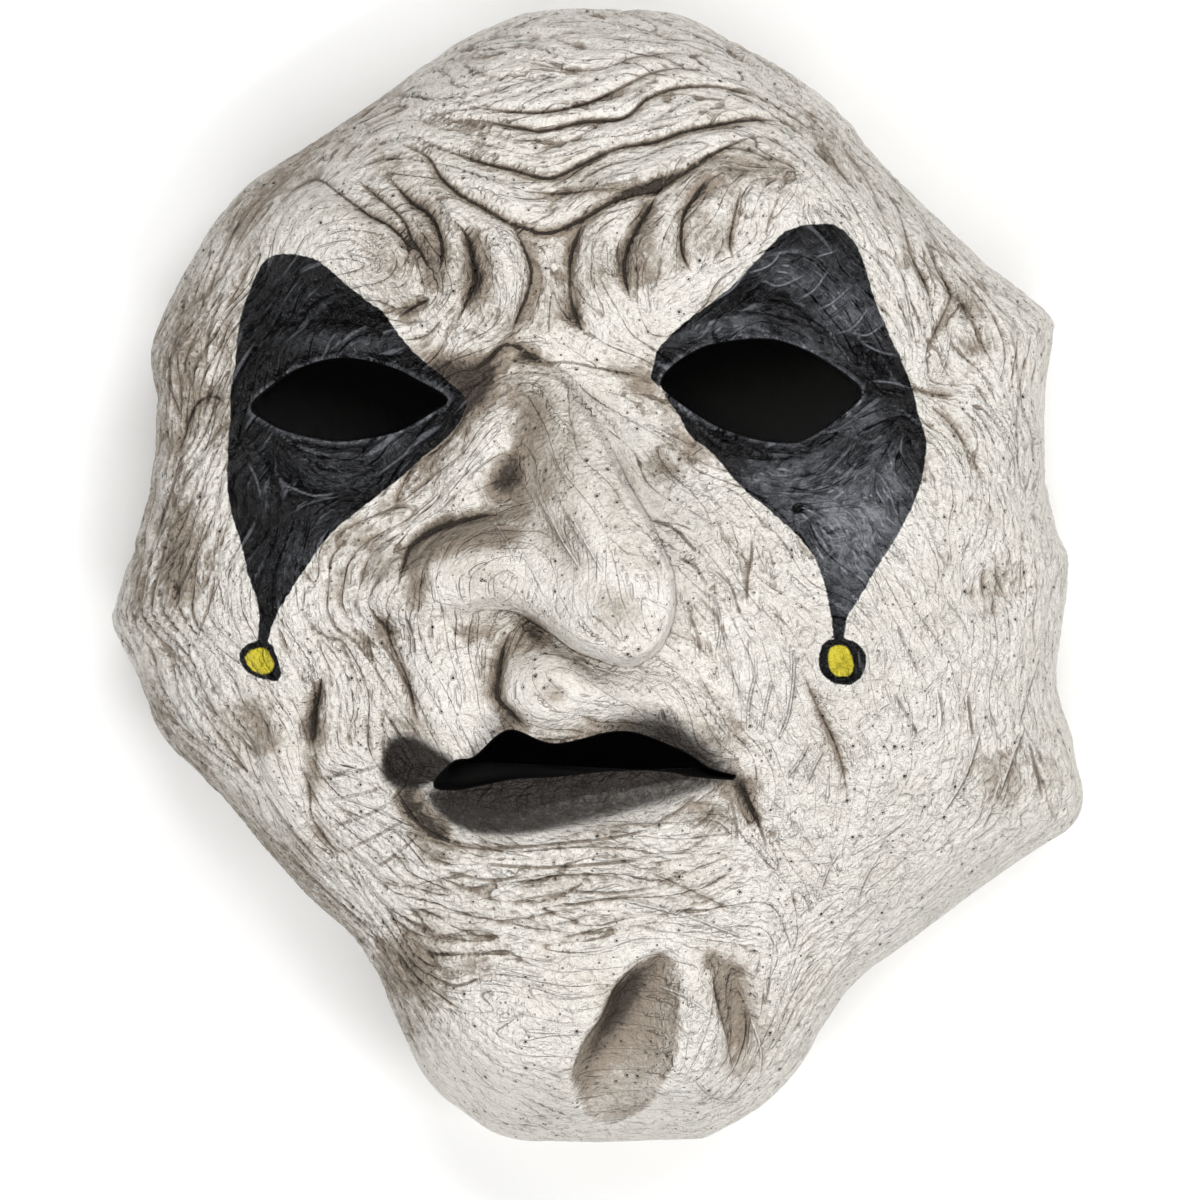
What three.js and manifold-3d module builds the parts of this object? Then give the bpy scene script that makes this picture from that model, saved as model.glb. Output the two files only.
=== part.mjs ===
// A tragedy mask: a scowling face shell of slush-cast latex rubber, open behind, lying on its rim.
// Millimetres. +Z comes out of the face, +Y points to the forehead, +X to the mask's right in the view.
import * as THREE from "three";
import { mergeVertices } from "three/addons/utils/BufferGeometryUtils.js";
import Module from "manifold-3d";

const wasm = await Module();
wasm.setup();

// Driving dimensions
const EQUATOR = 22;
const CROWN = 78;
const DOME_FULLNESS = 2.3;
const WALL = 3.2;
const RIM_TUCK = 0.03;
const NOSE_HEIGHT = 27;
const BROW_HEIGHT = 7;
const SOCKET_DEPTH = 8;
const LIP_HEIGHT = 7;
const CHIN_HEIGHT = 6;
const CHIN_PIT_DEPTH = 9;
const FOLD_DEPTH = 3.4;
const FOLD_WIDTH = 6.5;

// How finely the skins are faceted
const COLUMNS = 24;
const ROWS = 30;
const FINEST_SPLIT = 4;
const RIM_SPLIT = 2;
const FORM_TOLERANCE = 0.65;
const FRONT_FINENESS = 0.7;
const EQUATOR_SHARE = 0.88;
const CORE_MARGIN = 6.5;
const CURVE_STEPS = 6;
const SNAP = 1.1;

// Colour of the bare ivory latex and how dull it is
const IVORY = 0xd8d4cc;
const IVORY_ROUGHNESS = 0.62;

// The trimmed outline, clockwise from the crown
const OUTLINE = [
  // crown and right forehead
  [-8.5, 130], [5, 130], [17, 129], [28, 124.5], [46, 114], [57, 105], [63.5, 96.5], [86.5, 74],
  // right temple and cheek
  [103, 60.5], [104.5, 54], [103, 44], [103, 23.5], [105.5, 10.5], [108.5, 2], [105.5, -23],
  [109.5, -39], [111.5, -51.5], [108, -58.5], [95.5, -66.5],
  // jaw and chin
  [69.5, -85.5], [60, -92.5], [53.5, -101], [43.5, -116.5], [28.5, -127.5], [17, -129.5],
  [-18, -129.5], [-32.5, -122], [-40, -114.5], [-45, -104.5], [-54.5, -85],
  // left jaw, cheek and temple
  [-67, -73], [-75.5, -63.5], [-85.5, -51.5], [-99.5, -37], [-105.5, -23], [-111, -11.5],
  [-110, -4.5], [-103, 18], [-101, 38.5], [-102, 53.5], [-92, 74.5], [-82, 88], [-69, 97],
  [-52, 108], [-34, 121], [-18, 128.5],
];

// The openings, seen from the front
const LEFT_EYE = [
  [-78, 38], [-66.5, 46.5], [-57, 48.5], [-47, 46.5], [-34, 39.5],
  [-44, 33], [-57, 30.5], [-70.5, 33],
];
const RIGHT_EYE = [
  [14.5, 43.5], [24.5, 51], [35, 52.5], [46, 50.5], [59, 41],
  [54.5, 36], [43, 30], [26.5, 34], [20, 38],
];
const MOUTH = [
  [-36.5, -47], [-32, -42], [-27.5, -41], [-20, -35.5], [-12.5, -37.5], [-3.5, -37], [5, -35],
  [14, -37.5], [25, -43], [31, -45], [22, -44], [8, -43], [-9.5, -44.5], [-26, -46.5],
];

// Soft swellings and hollows: centre, half width, half height, rise, turn in degrees
const MASSES = [
  // eye sockets
  { at: [-60, 38], size: [32, 24], rise: -SOCKET_DEPTH },
  { at: [38, 40], size: [32, 24], rise: -SOCKET_DEPTH },
  // forehead and brows, with the knob in the left one
  { at: [-5, 100], size: [70, 34], rise: 2 },
  { at: [-52, 76], size: [30, 17], rise: BROW_HEIGHT, turn: -8 },
  { at: [44, 84], size: [32, 16], rise: BROW_HEIGHT, turn: -8 },
  { at: [-61, 78], size: [14, 12], rise: 3 },
  { at: [-48.5, 72.5], size: [9, 8], rise: 2.5 },
  { at: [-25, 68], size: [16, 20], rise: 5 },
  { at: [14, 72], size: [20, 20], rise: 5 },
  { at: [-10, 62], size: [12, 24], rise: -4 },
  // temples
  { at: [-94, 36], size: [12, 16], rise: -3 },
  { at: [80, 44], size: [12, 16], rise: -4 },
  { at: [88, -3], size: [9, 8], rise: -4 },
  // cheeks and the hollows beside the nose
  { at: [-76, -8], size: [22, 34], rise: 4 },
  { at: [66, -24], size: [32, 44], rise: 5 },
  { at: [-21.5, 21], size: [8, 9], rise: -5 },
  { at: [14, 24], size: [8, 5], rise: -3 },
  { at: [-50, -84], size: [14, 16], rise: -3 },
  // muzzle, the two lobes of the upper lip and the left mouth corner
  { at: [-5, -34], size: [44, 26], rise: LIP_HEIGHT },
  { at: [-34, -26], size: [14, 17], rise: 6, turn: 12 },
  { at: [-11.5, -24], size: [13, 11], rise: 7.5 },
  { at: [-44, -41], size: [8, 6], rise: -4 },
  // chin
  { at: [0, -80], size: [46, 10], rise: -2 },
  { at: [2, -112], size: [40, 24], rise: CHIN_HEIGHT },
  { at: [-22, -112], size: [14, 13], rise: 4 },
  { at: [26, -120], size: [16, 10], rise: 3 },
];

// Rounded ridges of skin along a line
const RIDGES = [
  // upper and lower lids
  { through: [[-79, 42], [-70, 50], [-57, 53.5], [-44, 50.5], [-33, 43]], wide: 6, rise: 3.5 },
  { through: [[-76, 33], [-66, 27], [-54, 26.5], [-42, 30], [-34, 36]], wide: 5.5, rise: 2.6 },
  { through: [[14, 47], [22, 54.5], [34, 57.5], [47, 55], [60, 44]], wide: 6, rise: 3.5 },
  { through: [[17, 38], [28, 29], [42, 25.5], [54, 30], [60, 38]], wide: 5.5, rise: 2.6 },
  // flank of the nose, cheek folds and the ridge between the chin's pits
  { through: [[-21, 40], [-26.5, 28], [-31.5, 18.5], [-37, 12.5]], wide: 8, rise: 4.5 },
  { through: [[-43, 9], [-47.5, 1], [-51.5, -6], [-49.5, -13]], wide: 6, rise: 2.6 },
  { through: [[-71, -28], [-71.5, -42], [-70, -52], [-65, -64]], wide: 6, rise: 3 },
  { through: [[20, -86], [21, -96], [24, -106]], wide: 5, rise: 2 },
  // right half of the upper lip and the lower lip
  { through: [[-10, -26], [2, -26.5], [12, -27], [22, -34], [32, -44]], wide: 7.5, rise: 5 },
  {
    through: [[-41, -50], [-30, -53], [-16, -52], [0, -49.5], [15, -47.5], [30, -46]],
    wide: 7.5,
    rise: LIP_HEIGHT,
  },
];

// Sharp creases between puffed folds of skin
const CREASES = [
  // forehead folds, from the hairline down to the deep frown
  { through: [[-23, 118.5], [-12.5, 115.5], [0, 114.5], [10, 117.5], [27.5, 116.5]], deep: 1.4 },
  { through: [[-37.5, 109.5], [-32, 107], [-15, 104.5], [-3, 106.5], [10, 113], [34, 112]], deep: 2.4 },
  { through: [[-45, 106], [-25.5, 102.5], [-12.5, 100.5], [6, 103.5], [18, 110.5], [42, 107]], deep: 2.6 },
  { through: [[-46, 98.5], [-32, 95], [-11, 89.5], [4.5, 96.5], [20, 100.5], [34.5, 103], [50, 99]] },
  { through: [[-54, 102], [-38, 93.5], [-31, 86], [-12, 77], [-5, 79.5], [4.5, 85], [25, 95]], deep: 4 },
  // left brow folds, fanning from the frown to the outer corner
  { through: [[-20, 80], [-14, 68], [-15, 61], [-20, 52]] },
  { through: [[-35, 82], [-29.5, 77], [-27.5, 70], [-28.5, 63], [-33, 54]], deep: 4.5 },
  { through: [[-49.5, 89.5], [-42, 85], [-37, 80], [-35, 73], [-36, 66]] },
  { through: [[-72, 84], [-64, 90.5], [-54.5, 85], [-43, 75], [-43.5, 69.5], [-48, 65]] },
  // right brow folds
  { through: [[-2.5, 82], [-6, 73], [-6.5, 67], [-2, 51]] },
  { through: [[15, 88], [9, 79], [5.5, 67], [8, 60]], deep: 3.4 },
  { through: [[27, 91], [20, 82.5], [19, 76], [22, 66]] },
  { through: [[33, 88], [30, 76], [31, 69]], deep: 1.8 },
  // root and wing of the nose
  { through: [[-20, 53], [-13, 48.5], [0, 46.5], [12, 42.5]], deep: 2.5 },
  { through: [[-44.5, -6], [-43.5, 0], [-42, 6.5], [-35, 11], [-24.5, 13.5], [-18, 12.5]] },
  // from the nostril down beside the middle lobe of the lip
  { through: [[-17, -10], [-21, -16], [-23, -24], [-22, -29], [-17, -34]], deep: 5 },
  // under the lower lip and at the mouth's corners
  { through: [[-41, -54], [-34, -60], [-26, -62.5], [-12, -62], [4, -61.5], [14, -59]], deep: 2.4 },
  { through: [[-44, -5], [-47.5, -13], [-43.5, -23], [-40, -34]], deep: 2.2 },
  { through: [[31, -45], [34, -51.5], [37, -58]], deep: 2.2 },
  // cheeks
  { through: [[-61.5, -21], [-63.5, -29], [-64, -35], [-63, -41]], deep: 3 },
  { through: [[-66, -43], [-65, -49], [-64.5, -55.5], [-57.5, -63.5]], deep: 2 },
  { through: [[36, -14], [41, -22], [48, -28.5], [53.5, -39.5], [56, -50]], deep: 2.2 },
  // the narrow right pit of the chin
  { through: [[26.5, -85], [27, -90], [29.5, -99], [31.5, -109], [33, -117]], deep: 5 },
];

// The nose is a ridge and a wing, cut off sharply at the contour of its right side and underside
const NOSE_RIDGE = [[-13, 50], [-6, 34], [1, 18], [5, 5], [4, -7]];
const NOSE_RIDGE_SPREAD = [18, 27, 34, 36, 30];
const NOSE_RIDGE_RISE = [0, 0.33, 0.67, 0.9, 1];
const NOSE_WING = [[6, -3], [-10, 0.5], [-22, 2.5], [-34, 0.5], [-43, -5]];
const NOSE_WING_SPREAD = [17, 15, 13, 11.5, 8];
const NOSE_WING_RISE = [0.74, 0.66, 0.6, 0.45, 0.22];
const NOSE_CONTOUR = [
  [-17, 52], [-8.5, 46], [-2.5, 37.5], [3, 29], [10, 15.5], [15, 5.5], [17.5, -4], [16.5, -12],
  [9.5, -20], [0, -19], [-10, -13.5], [-18, -8.5], [-26, -8], [-38, -12], [-46, -13],
];
const NOSE_CONTOUR_GRIP = [0, 0.8, 1, 1, 1, 1, 1, 1, 1, 1, 1, 1, 0.9, 0];
const NOSE_ROUNDING = [5, 8, 11, 13, 14, 15, 15, 15, 15, 15, 14, 11, 9, 8, 8];
const NOSE_BLEND = 8;

// The wide pit of the chin, sharp along its left side and shallow on its right
const CHIN_PIT = [
  [18.5, -89], [18.5, -97], [18, -107.5], [15.5, -114.5], [5, -124], [-4.5, -119], [-5.5, -112.5],
  [-3, -105.5], [1, -99.5], [4, -93], [8, -88.5], [12.5, -85], [16, -85],
];
const CHIN_PIT_ROUNDING = [9, 9, 9, 8, 6, 4, 4, 4, 4, 4, 5, 7, 9];
const CHIN_PIT_MIDDLE = { at: [3, -106], size: [15, 22], rise: CHIN_PIT_DEPTH, turn: -18 };

const clamp01 = (value) => Math.min(1, Math.max(0, value));

function smoothStep(value) {
  const t = clamp01(value);
  return t * t * (3 - 2 * t);
}

// A value read off an evenly spaced list, share 0 being its start and 1 its end
function along(list, share) {
  const place = clamp01(share) * (list.length - 1);
  const before = Math.min(Math.floor(place), list.length - 2);
  return list[before] + (list[before + 1] - list[before]) * (place - before);
}

// The smooth curve through a few points, as dots with the distance run up to each
function smoothLine(points, closed = false) {
  const spread = points.map(([x, y]) => new THREE.Vector3(x, y, 0));
  const curve = new THREE.CatmullRomCurve3(spread, closed, "catmullrom", 0.5);
  const spans = closed ? points.length : points.length - 1;
  const dots = curve.getPoints(spans * CURVE_STEPS);
  const run = [0];
  for (let i = 1; i < dots.length; i += 1) {
    run.push(run[i - 1] + dots[i].distanceTo(dots[i - 1]));
  }
  const box = new THREE.Box3().setFromPoints(dots);
  return { dots, run, box };
}

// How far a place is from a line, how far along, and whether it lies to the left of the line's travel
function nearest(line, x, y) {
  const { dots, run } = line;
  const best = { gap: Infinity, share: 0, left: false, foot: [x, y] };
  for (let i = 1; i < dots.length; i += 1) {
    const length = run[i] - run[i - 1];
    const ex = (dots[i].x - dots[i - 1].x) / length;
    const ey = (dots[i].y - dots[i - 1].y) / length;
    const rx = x - dots[i - 1].x;
    const ry = y - dots[i - 1].y;
    const t = Math.min(length, Math.max(0, rx * ex + ry * ey));
    const dx = rx - t * ex;
    const dy = ry - t * ey;
    const gap = Math.hypot(dx, dy);
    if (gap < best.gap) {
      best.gap = gap;
      best.share = (run[i - 1] + t) / run[run.length - 1];
      best.left = ex * dy - ey * dx > 0;
      best.foot = [x - dx, y - dy];
    }
  }
  return best;
}

function isNear(line, x, y, margin) {
  const { min, max } = line.box;
  return x > min.x - margin && x < max.x + margin && y > min.y - margin && y < max.y + margin;
}

// The larger of two heights, with the valley between them filled softly
function softMax(a, b, blend) {
  const mix = clamp01(0.5 + (0.5 * (a - b)) / blend);
  return b * (1 - mix) + a * mix + blend * mix * (1 - mix);
}

// How fast a swelling falls away from its middle, and how full a ridge and how sharp a crease is
const MASS_FALL = 1.1;
const RIDGE_FULLNESS = 1.2;
const CREASE_SHARPNESS = 1.6;

function mass({ at, size, rise, turn = 0 }, x, y) {
  const angle = THREE.MathUtils.degToRad(turn);
  const dx = x - at[0];
  const dy = y - at[1];
  const u = (dx * Math.cos(angle) + dy * Math.sin(angle)) / size[0];
  const v = (dy * Math.cos(angle) - dx * Math.sin(angle)) / size[1];
  return rise * Math.exp(-MASS_FALL * (u * u + v * v));
}

// Both ends of a ridge or crease run out over this share of its length
const RUN_OUT = 0.3;

function ridge({ line, wide, rise }, x, y) {
  if (!isNear(line, x, y, wide)) return 0;
  const { gap, share } = nearest(line, x, y);
  const fade = smoothStep(share / RUN_OUT) * smoothStep((1 - share) / RUN_OUT);
  const q = clamp01(gap / wide);
  return rise * fade * (1 - q * q) ** RIDGE_FULLNESS;
}

function crease({ line, wide = FOLD_WIDTH, deep = FOLD_DEPTH }, x, y) {
  if (!isNear(line, x, y, wide)) return 0;
  const { gap, share } = nearest(line, x, y);
  const fade = smoothStep(share / RUN_OUT) * smoothStep((1 - share) / RUN_OUT);
  const q = clamp01(gap / wide);
  return -deep * fade * (1 - q) ** CREASE_SHARPNESS;
}

// 0 at a contour and outside it, 1 well inside; inside is to the right of the contour's travel
function insideEdge(line, rounding, grip, x, y) {
  const { gap, share, left } = nearest(line, x, y);
  const q = clamp01(gap / along(rounding, share));
  const rounded = left ? 0 : Math.sqrt(1 - (1 - q) ** 2);
  return 1 - along(grip, share) * (1 - rounded);
}

const noseRidge = smoothLine(NOSE_RIDGE);
const noseWing = smoothLine(NOSE_WING);
const noseContour = smoothLine(NOSE_CONTOUR);
const NOSE_REACH = 30;
// The bridge slopes gently to the mask's left and hardly at all to its right, where the contour cuts it off
const FLANK_START = 1.8;
const FLANK_END = 1.6;
const STEEP_SIDE_DROP = 0.6;
const STEEP_SIDE_BEND = 1.5;
const WING_FULLNESS = 0.9;

function nose(x, y) {
  if (!isNear(noseContour, x, y, NOSE_REACH)) return 0;
  const top = nearest(noseRidge, x, y);
  const flank = clamp01(top.gap / along(NOSE_RIDGE_SPREAD, top.share));
  const steep = 1 - STEEP_SIDE_DROP * (top.gap / NOSE_REACH) ** STEEP_SIDE_BEND;
  const fall = top.left ? clamp01(steep) : (1 - flank ** FLANK_START) ** FLANK_END;
  const bridge = NOSE_HEIGHT * along(NOSE_RIDGE_RISE, top.share) * fall;
  const side = nearest(noseWing, x, y);
  const q = clamp01(side.gap / along(NOSE_WING_SPREAD, side.share));
  const wing = NOSE_HEIGHT * along(NOSE_WING_RISE, side.share) * (1 - q * q) ** WING_FULLNESS;
  const blend = NOSE_BLEND * clamp01(Math.max(bridge, wing) / NOSE_BLEND);
  const whole = blend > 0 ? softMax(bridge, wing, blend) : 0;
  return whole * insideEdge(noseContour, NOSE_ROUNDING, NOSE_CONTOUR_GRIP, x, y);
}

const chinPit = smoothLine(CHIN_PIT, true);

function chinHollow(x, y) {
  if (!isNear(chinPit, x, y, 0)) return 0;
  return mass(CHIN_PIT_MIDDLE, x, y) * insideEdge(chinPit, CHIN_PIT_ROUNDING, [1, 1], x, y);
}

const ridges = RIDGES.map((item) => ({ ...item, line: smoothLine(item.through) }));
const creases = CREASES.map((item) => ({ ...item, line: smoothLine(item.through) }));

// Everything that stands out from the plain dome, or is pressed into it, at one place of the front view
function relief(x, y) {
  let height = nose(x, y) - chinHollow(x, y);
  for (const item of MASSES) height += mass(item, x, y);
  for (const item of ridges) height += ridge(item, x, y);
  for (const item of creases) height += crease(item, x, y);
  return height;
}

// The outline as a reach for every degree around the middle
const outlineDots = smoothLine(OUTLINE, true).dots;
const DEGREES = 360;
const outlineReach = [];
for (let degree = 0; degree < DEGREES; degree += 1) {
  const angle = THREE.MathUtils.degToRad(degree);
  const ray = new THREE.Vector2(Math.cos(angle), Math.sin(angle));
  for (let i = 1; i < outlineDots.length; i += 1) {
    const a = outlineDots[i - 1];
    const b = outlineDots[i];
    const sideA = ray.x * a.y - ray.y * a.x;
    const sideB = ray.x * b.y - ray.y * b.x;
    const crosses = sideA * sideB <= 0 && sideA !== sideB;
    const t = crosses ? sideA / (sideA - sideB) : 0;
    const reach = (a.x + (b.x - a.x) * t) * ray.x + (a.y + (b.y - a.y) * t) * ray.y;
    if (crosses && reach > 0) outlineReach[degree] = reach;
  }
}

// A calmer outline for the inside of the dome, so that the corners of the rim fade out inwards
const CALM_SPREAD = 24;
const CALM_REACH = 90;
const calmReach = outlineReach.map((_, degree) => {
  let sum = 0;
  let weight = 0;
  for (let off = -CALM_REACH; off <= CALM_REACH; off += 1) {
    const share = Math.exp(-0.5 * (off / CALM_SPREAD) ** 2);
    sum += share * outlineReach[(degree + off + DEGREES) % DEGREES];
    weight += share;
  }
  return sum / weight;
});

function around(list, angle) {
  const degree = (THREE.MathUtils.radToDeg(angle) + DEGREES) % DEGREES;
  const before = Math.floor(degree);
  const after = (before + 1) % DEGREES;
  return list[before % DEGREES] + (list[after] - list[before % DEGREES]) * (degree - before);
}

// Facets follow the sharp lines: a corner that falls close to one is moved onto it
const sharpLines = [noseContour, chinPit, ...creases.map((item) => item.line)];
function snapped(x, y) {
  let best = SNAP;
  let place = [x, y];
  for (const line of sharpLines) {
    if (!isNear(line, x, y, best)) continue;
    const { gap, foot } = nearest(line, x, y);
    if (gap < best) {
      best = gap;
      place = foot;
    }
  }
  return place;
}

// A place on a skin: share 0 is the middle of the face, EQUATOR_SHARE the widest line, 1 the rim
const RIM_BLEND = 5;
const RELIEF_ENDS = 0.86;
function skinPoint(share, angle, { inset, carving, place }) {
  const front = share < EQUATOR_SHARE;
  const turn = front ? (share / EQUATOR_SHARE) * (Math.PI / 2) : Math.PI / 2;
  const drop = front ? 0 : (share - EQUATOR_SHARE) / (1 - EQUATOR_SHARE);
  const out = Math.sin(turn) ** (2 / DOME_FULLNESS);
  const calm = around(calmReach, angle);
  const reach = calm + (around(outlineReach, angle) - calm) * out ** RIM_BLEND;
  const radius = out * (reach - inset) * (1 - RIM_TUCK * drop * drop);
  const [x, y] = place(radius * Math.cos(angle), radius * Math.sin(angle));
  const rise = (CROWN - EQUATOR - inset) * Math.max(0, Math.cos(turn)) ** (2 / DOME_FULLNESS);
  const fade = 1 - smoothStep((out - RELIEF_ENDS) / (1 - RELIEF_ENDS));
  const z = EQUATOR * (1 - drop) + rise + (fade > 0 ? fade * carving(x, y) : 0);
  return [x, y, z];
}

// The inner skin follows only what the casting's thickness lets through
const FEELER_DIRECTIONS = 8;
function core(x, y) {
  let low = relief(x, y);
  for (let i = 0; i < FEELER_DIRECTIONS; i += 1) {
    const angle = (i / FEELER_DIRECTIONS) * 2 * Math.PI;
    for (const length of [CORE_MARGIN / 2, CORE_MARGIN]) {
      low = Math.min(low, relief(x + length * Math.cos(angle), y + length * Math.sin(angle)));
    }
  }
  return low;
}

// A skin is a square net drawn onto the mask's round plan, finer in front than at the sides
function netPoints(columns, rows, skin) {
  const points = [];
  for (let row = 0; row <= rows; row += 1) {
    for (let column = 0; column <= columns; column += 1) {
      const u = (2 * column) / columns - 1;
      const v = (2 * row) / rows - 1;
      const px = u * Math.sqrt(1 - (v * v) / 2);
      const py = v * Math.sqrt(1 - (u * u) / 2);
      const r = Math.min(1, Math.hypot(px, py));
      const share = r * (FRONT_FINENESS + (1 - FRONT_FINENESS) * r * r);
      points.push(skinPoint(share, Math.atan2(py, px), skin));
    }
  }
  return points;
}

function gapBetween(a, b) {
  return Math.hypot(a[0] - b[0], a[1] - b[1], a[2] - b[2]);
}

function blendPlaces(a, b, t) {
  return a.map((value, i) => value + (b[i] - value) * t);
}

// The furthest that the true surface stands from a flat-laid cell
function cellError(points, stride, cell) {
  const at = (i, j) => points[(cell.row + j) * stride + cell.column + i];
  let error = 0;
  for (let j = 0; j <= cell.size; j += 1) {
    for (let i = 0; i <= cell.size; i += 1) {
      const low = blendPlaces(at(0, 0), at(cell.size, 0), i / cell.size);
      const high = blendPlaces(at(0, cell.size), at(cell.size, cell.size), i / cell.size);
      const laid = blendPlaces(low, high, j / cell.size);
      error = Math.max(error, gapBetween(laid, at(i, j)));
    }
  }
  return error;
}

// Cells are quartered until each lies close to the carving; those at the rim all end at one size
function splitCells(points, columns, rows) {
  const waiting = [];
  for (let row = 0; row < rows; row += FINEST_SPLIT) {
    for (let column = 0; column < columns; column += FINEST_SPLIT) {
      waiting.push({ row, column, size: FINEST_SPLIT });
    }
  }
  const done = [];
  while (waiting.length > 0) {
    const cell = waiting.pop();
    const { row, column, size } = cell;
    const atRim = row === 0 || column === 0 || row + size === rows || column + size === columns;
    const wanted = atRim ? size > RIM_SPLIT : cellError(points, columns + 1, cell) > FORM_TOLERANCE;
    if (size === 1 || !wanted) {
      done.push(cell);
      continue;
    }
    const half = size / 2;
    for (const [down, across] of [[0, 0], [0, half], [half, 0], [half, half]]) {
      waiting.push({ row: row + down, column: column + across, size: half });
    }
  }
  return done;
}

// A cell whose sides are whole is halved along its shorter diagonal; one with smaller neighbours is fanned
function cellFaces(points, stride, cell, isCorner) {
  const { row, column, size } = cell;
  const at = (i, j) => (row + j) * stride + column + i;
  const walk = [];
  for (let i = 0; i < size; i += 1) walk.push(at(i, 0));
  for (let j = 0; j < size; j += 1) walk.push(at(size, j));
  for (let i = size; i > 0; i -= 1) walk.push(at(i, size));
  for (let j = size; j > 0; j -= 1) walk.push(at(0, j));
  const ring = walk.filter((index) => isCorner.has(index));
  if (ring.length === 4) {
    const [a, b, c, d] = ring;
    const acrossAC = gapBetween(points[a], points[c]) < gapBetween(points[b], points[d]);
    return acrossAC ? [[a, b, c], [a, c, d]] : [[a, b, d], [b, c, d]];
  }
  const middle = at(size / 2, size / 2);
  return ring.map((index, i) => [index, ring[(i + 1) % ring.length], middle]);
}

function outerSkin() {
  const columns = COLUMNS * FINEST_SPLIT;
  const rows = ROWS * FINEST_SPLIT;
  const stride = columns + 1;
  const even = netPoints(columns, rows, { inset: 0, carving: relief, place: (x, y) => [x, y] });
  const cells = splitCells(even, columns, rows);
  const points = netPoints(columns, rows, { inset: 0, carving: relief, place: snapped });
  const isCorner = new Set();
  for (const { row, column, size } of cells) {
    for (const [j, i] of [[0, 0], [0, size], [size, 0], [size, size]]) {
      isCorner.add((row + j) * stride + column + i);
    }
  }
  const faces = cells.flatMap((cell) => cellFaces(points, stride, cell, isCorner));
  return { points, faces, edge: netEdge(columns, rows).filter((index) => isCorner.has(index)) };
}

function innerSkin() {
  const skin = { inset: WALL, carving: core, place: (x, y) => [x, y] };
  const points = netPoints(COLUMNS, ROWS, skin);
  const isCorner = new Set(points.keys());
  const faces = [];
  for (let row = 0; row < ROWS; row += 1) {
    for (let column = 0; column < COLUMNS; column += 1) {
      const halves = cellFaces(points, COLUMNS + 1, { row, column, size: 1 }, isCorner);
      faces.push(...halves.map(([a, b, c]) => [a, c, b]));
    }
  }
  return { points, faces, edge: netEdge(COLUMNS, ROWS) };
}

// The net's edge, once round, counter-clockwise seen from the front
function netEdge(columns, rows) {
  const at = (column, row) => row * (columns + 1) + column;
  const edge = [];
  for (let column = 0; column < columns; column += 1) edge.push(at(column, 0));
  for (let row = 0; row < rows; row += 1) edge.push(at(columns, row));
  for (let column = columns; column > 0; column -= 1) edge.push(at(column, rows));
  for (let row = rows; row > 0; row -= 1) edge.push(at(0, row));
  return edge;
}

// Two skins and the flat rim between them; the outer skin has two rim corners to each inner one
function shell() {
  const outer = outerSkin();
  const inner = innerSkin();
  const shift = outer.points.length;
  const faces = [...outer.faces, ...inner.faces.map((face) => face.map((index) => index + shift))];
  const inside = inner.edge.map((index) => index + shift);
  const step = outer.edge.length / inside.length;
  inside.forEach((here, i) => {
    const next = inside[(i + 1) % inside.length];
    const rim = [0, 1, 2].map((ahead) => outer.edge[(step * i + ahead) % outer.edge.length]);
    faces.push([rim[0], here, rim[1]], [rim[1], here, next], [rim[1], next, rim[2]]);
  });
  const geometry = new THREE.BufferGeometry();
  const places = new Float32Array([...outer.points, ...inner.points].flat());
  geometry.setAttribute("position", new THREE.BufferAttribute(places, 3));
  geometry.setIndex(faces.flat());
  return geometry;
}

// Every opening is cut straight through the shell
const CUT_LOW = 8;
const CUT_HIGH = 130;
const CUT_EVERY = 3;
function punch(points) {
  const rounded = smoothLine(points, true).dots.filter((_, i) => i % CUT_EVERY === 0);
  const plan = rounded.slice(0, -1).map((dot) => new THREE.Vector2(dot.x, dot.y));
  const shape = new THREE.Shape(plan);
  const geometry = new THREE.ExtrudeGeometry(shape, { depth: CUT_HIGH - CUT_LOW, bevelEnabled: false });
  return geometry.translate(0, 0, CUT_LOW);
}

function toSolid(geometry) {
  geometry.deleteAttribute("normal");
  geometry.deleteAttribute("uv");
  const merged = mergeVertices(geometry);
  const vertProperties = new Float32Array(merged.attributes.position.array);
  const triVerts = new Uint32Array(merged.index.array);
  return new wasm.Manifold(new wasm.Mesh({ numProp: 3, vertProperties, triVerts }));
}

function toGeometry(solid) {
  const cut = solid.getMesh();
  const geometry = new THREE.BufferGeometry();
  geometry.setAttribute("position", new THREE.BufferAttribute(new Float32Array(cut.vertProperties), 3));
  geometry.setIndex(new THREE.BufferAttribute(new Uint32Array(cut.triVerts), 1));
  geometry.computeVertexNormals();
  return geometry;
}

let body = toSolid(shell());
for (const opening of [LEFT_EYE, RIGHT_EYE, MOUTH]) {
  body = body.subtract(toSolid(punch(opening)));
}

const latex = new THREE.MeshStandardMaterial({ color: IVORY, roughness: IVORY_ROUGHNESS, metalness: 0 });
const mask = new THREE.Mesh(toGeometry(body), latex);
mask.name = "mask";

const part = new THREE.Group();
part.add(mask);
export default part;
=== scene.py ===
# %% [markdown]
# # A tragedy mask of slush-cast latex
# The real mask is one hollow skin of latex rubber, poured into a plaster mould of a sculpted face.
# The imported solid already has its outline, its openings and its main forms. This script makes the same
# form again as one fine mesh, and adds what a sculptor's loop tool leaves: folds, creases and wrinkles.

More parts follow.
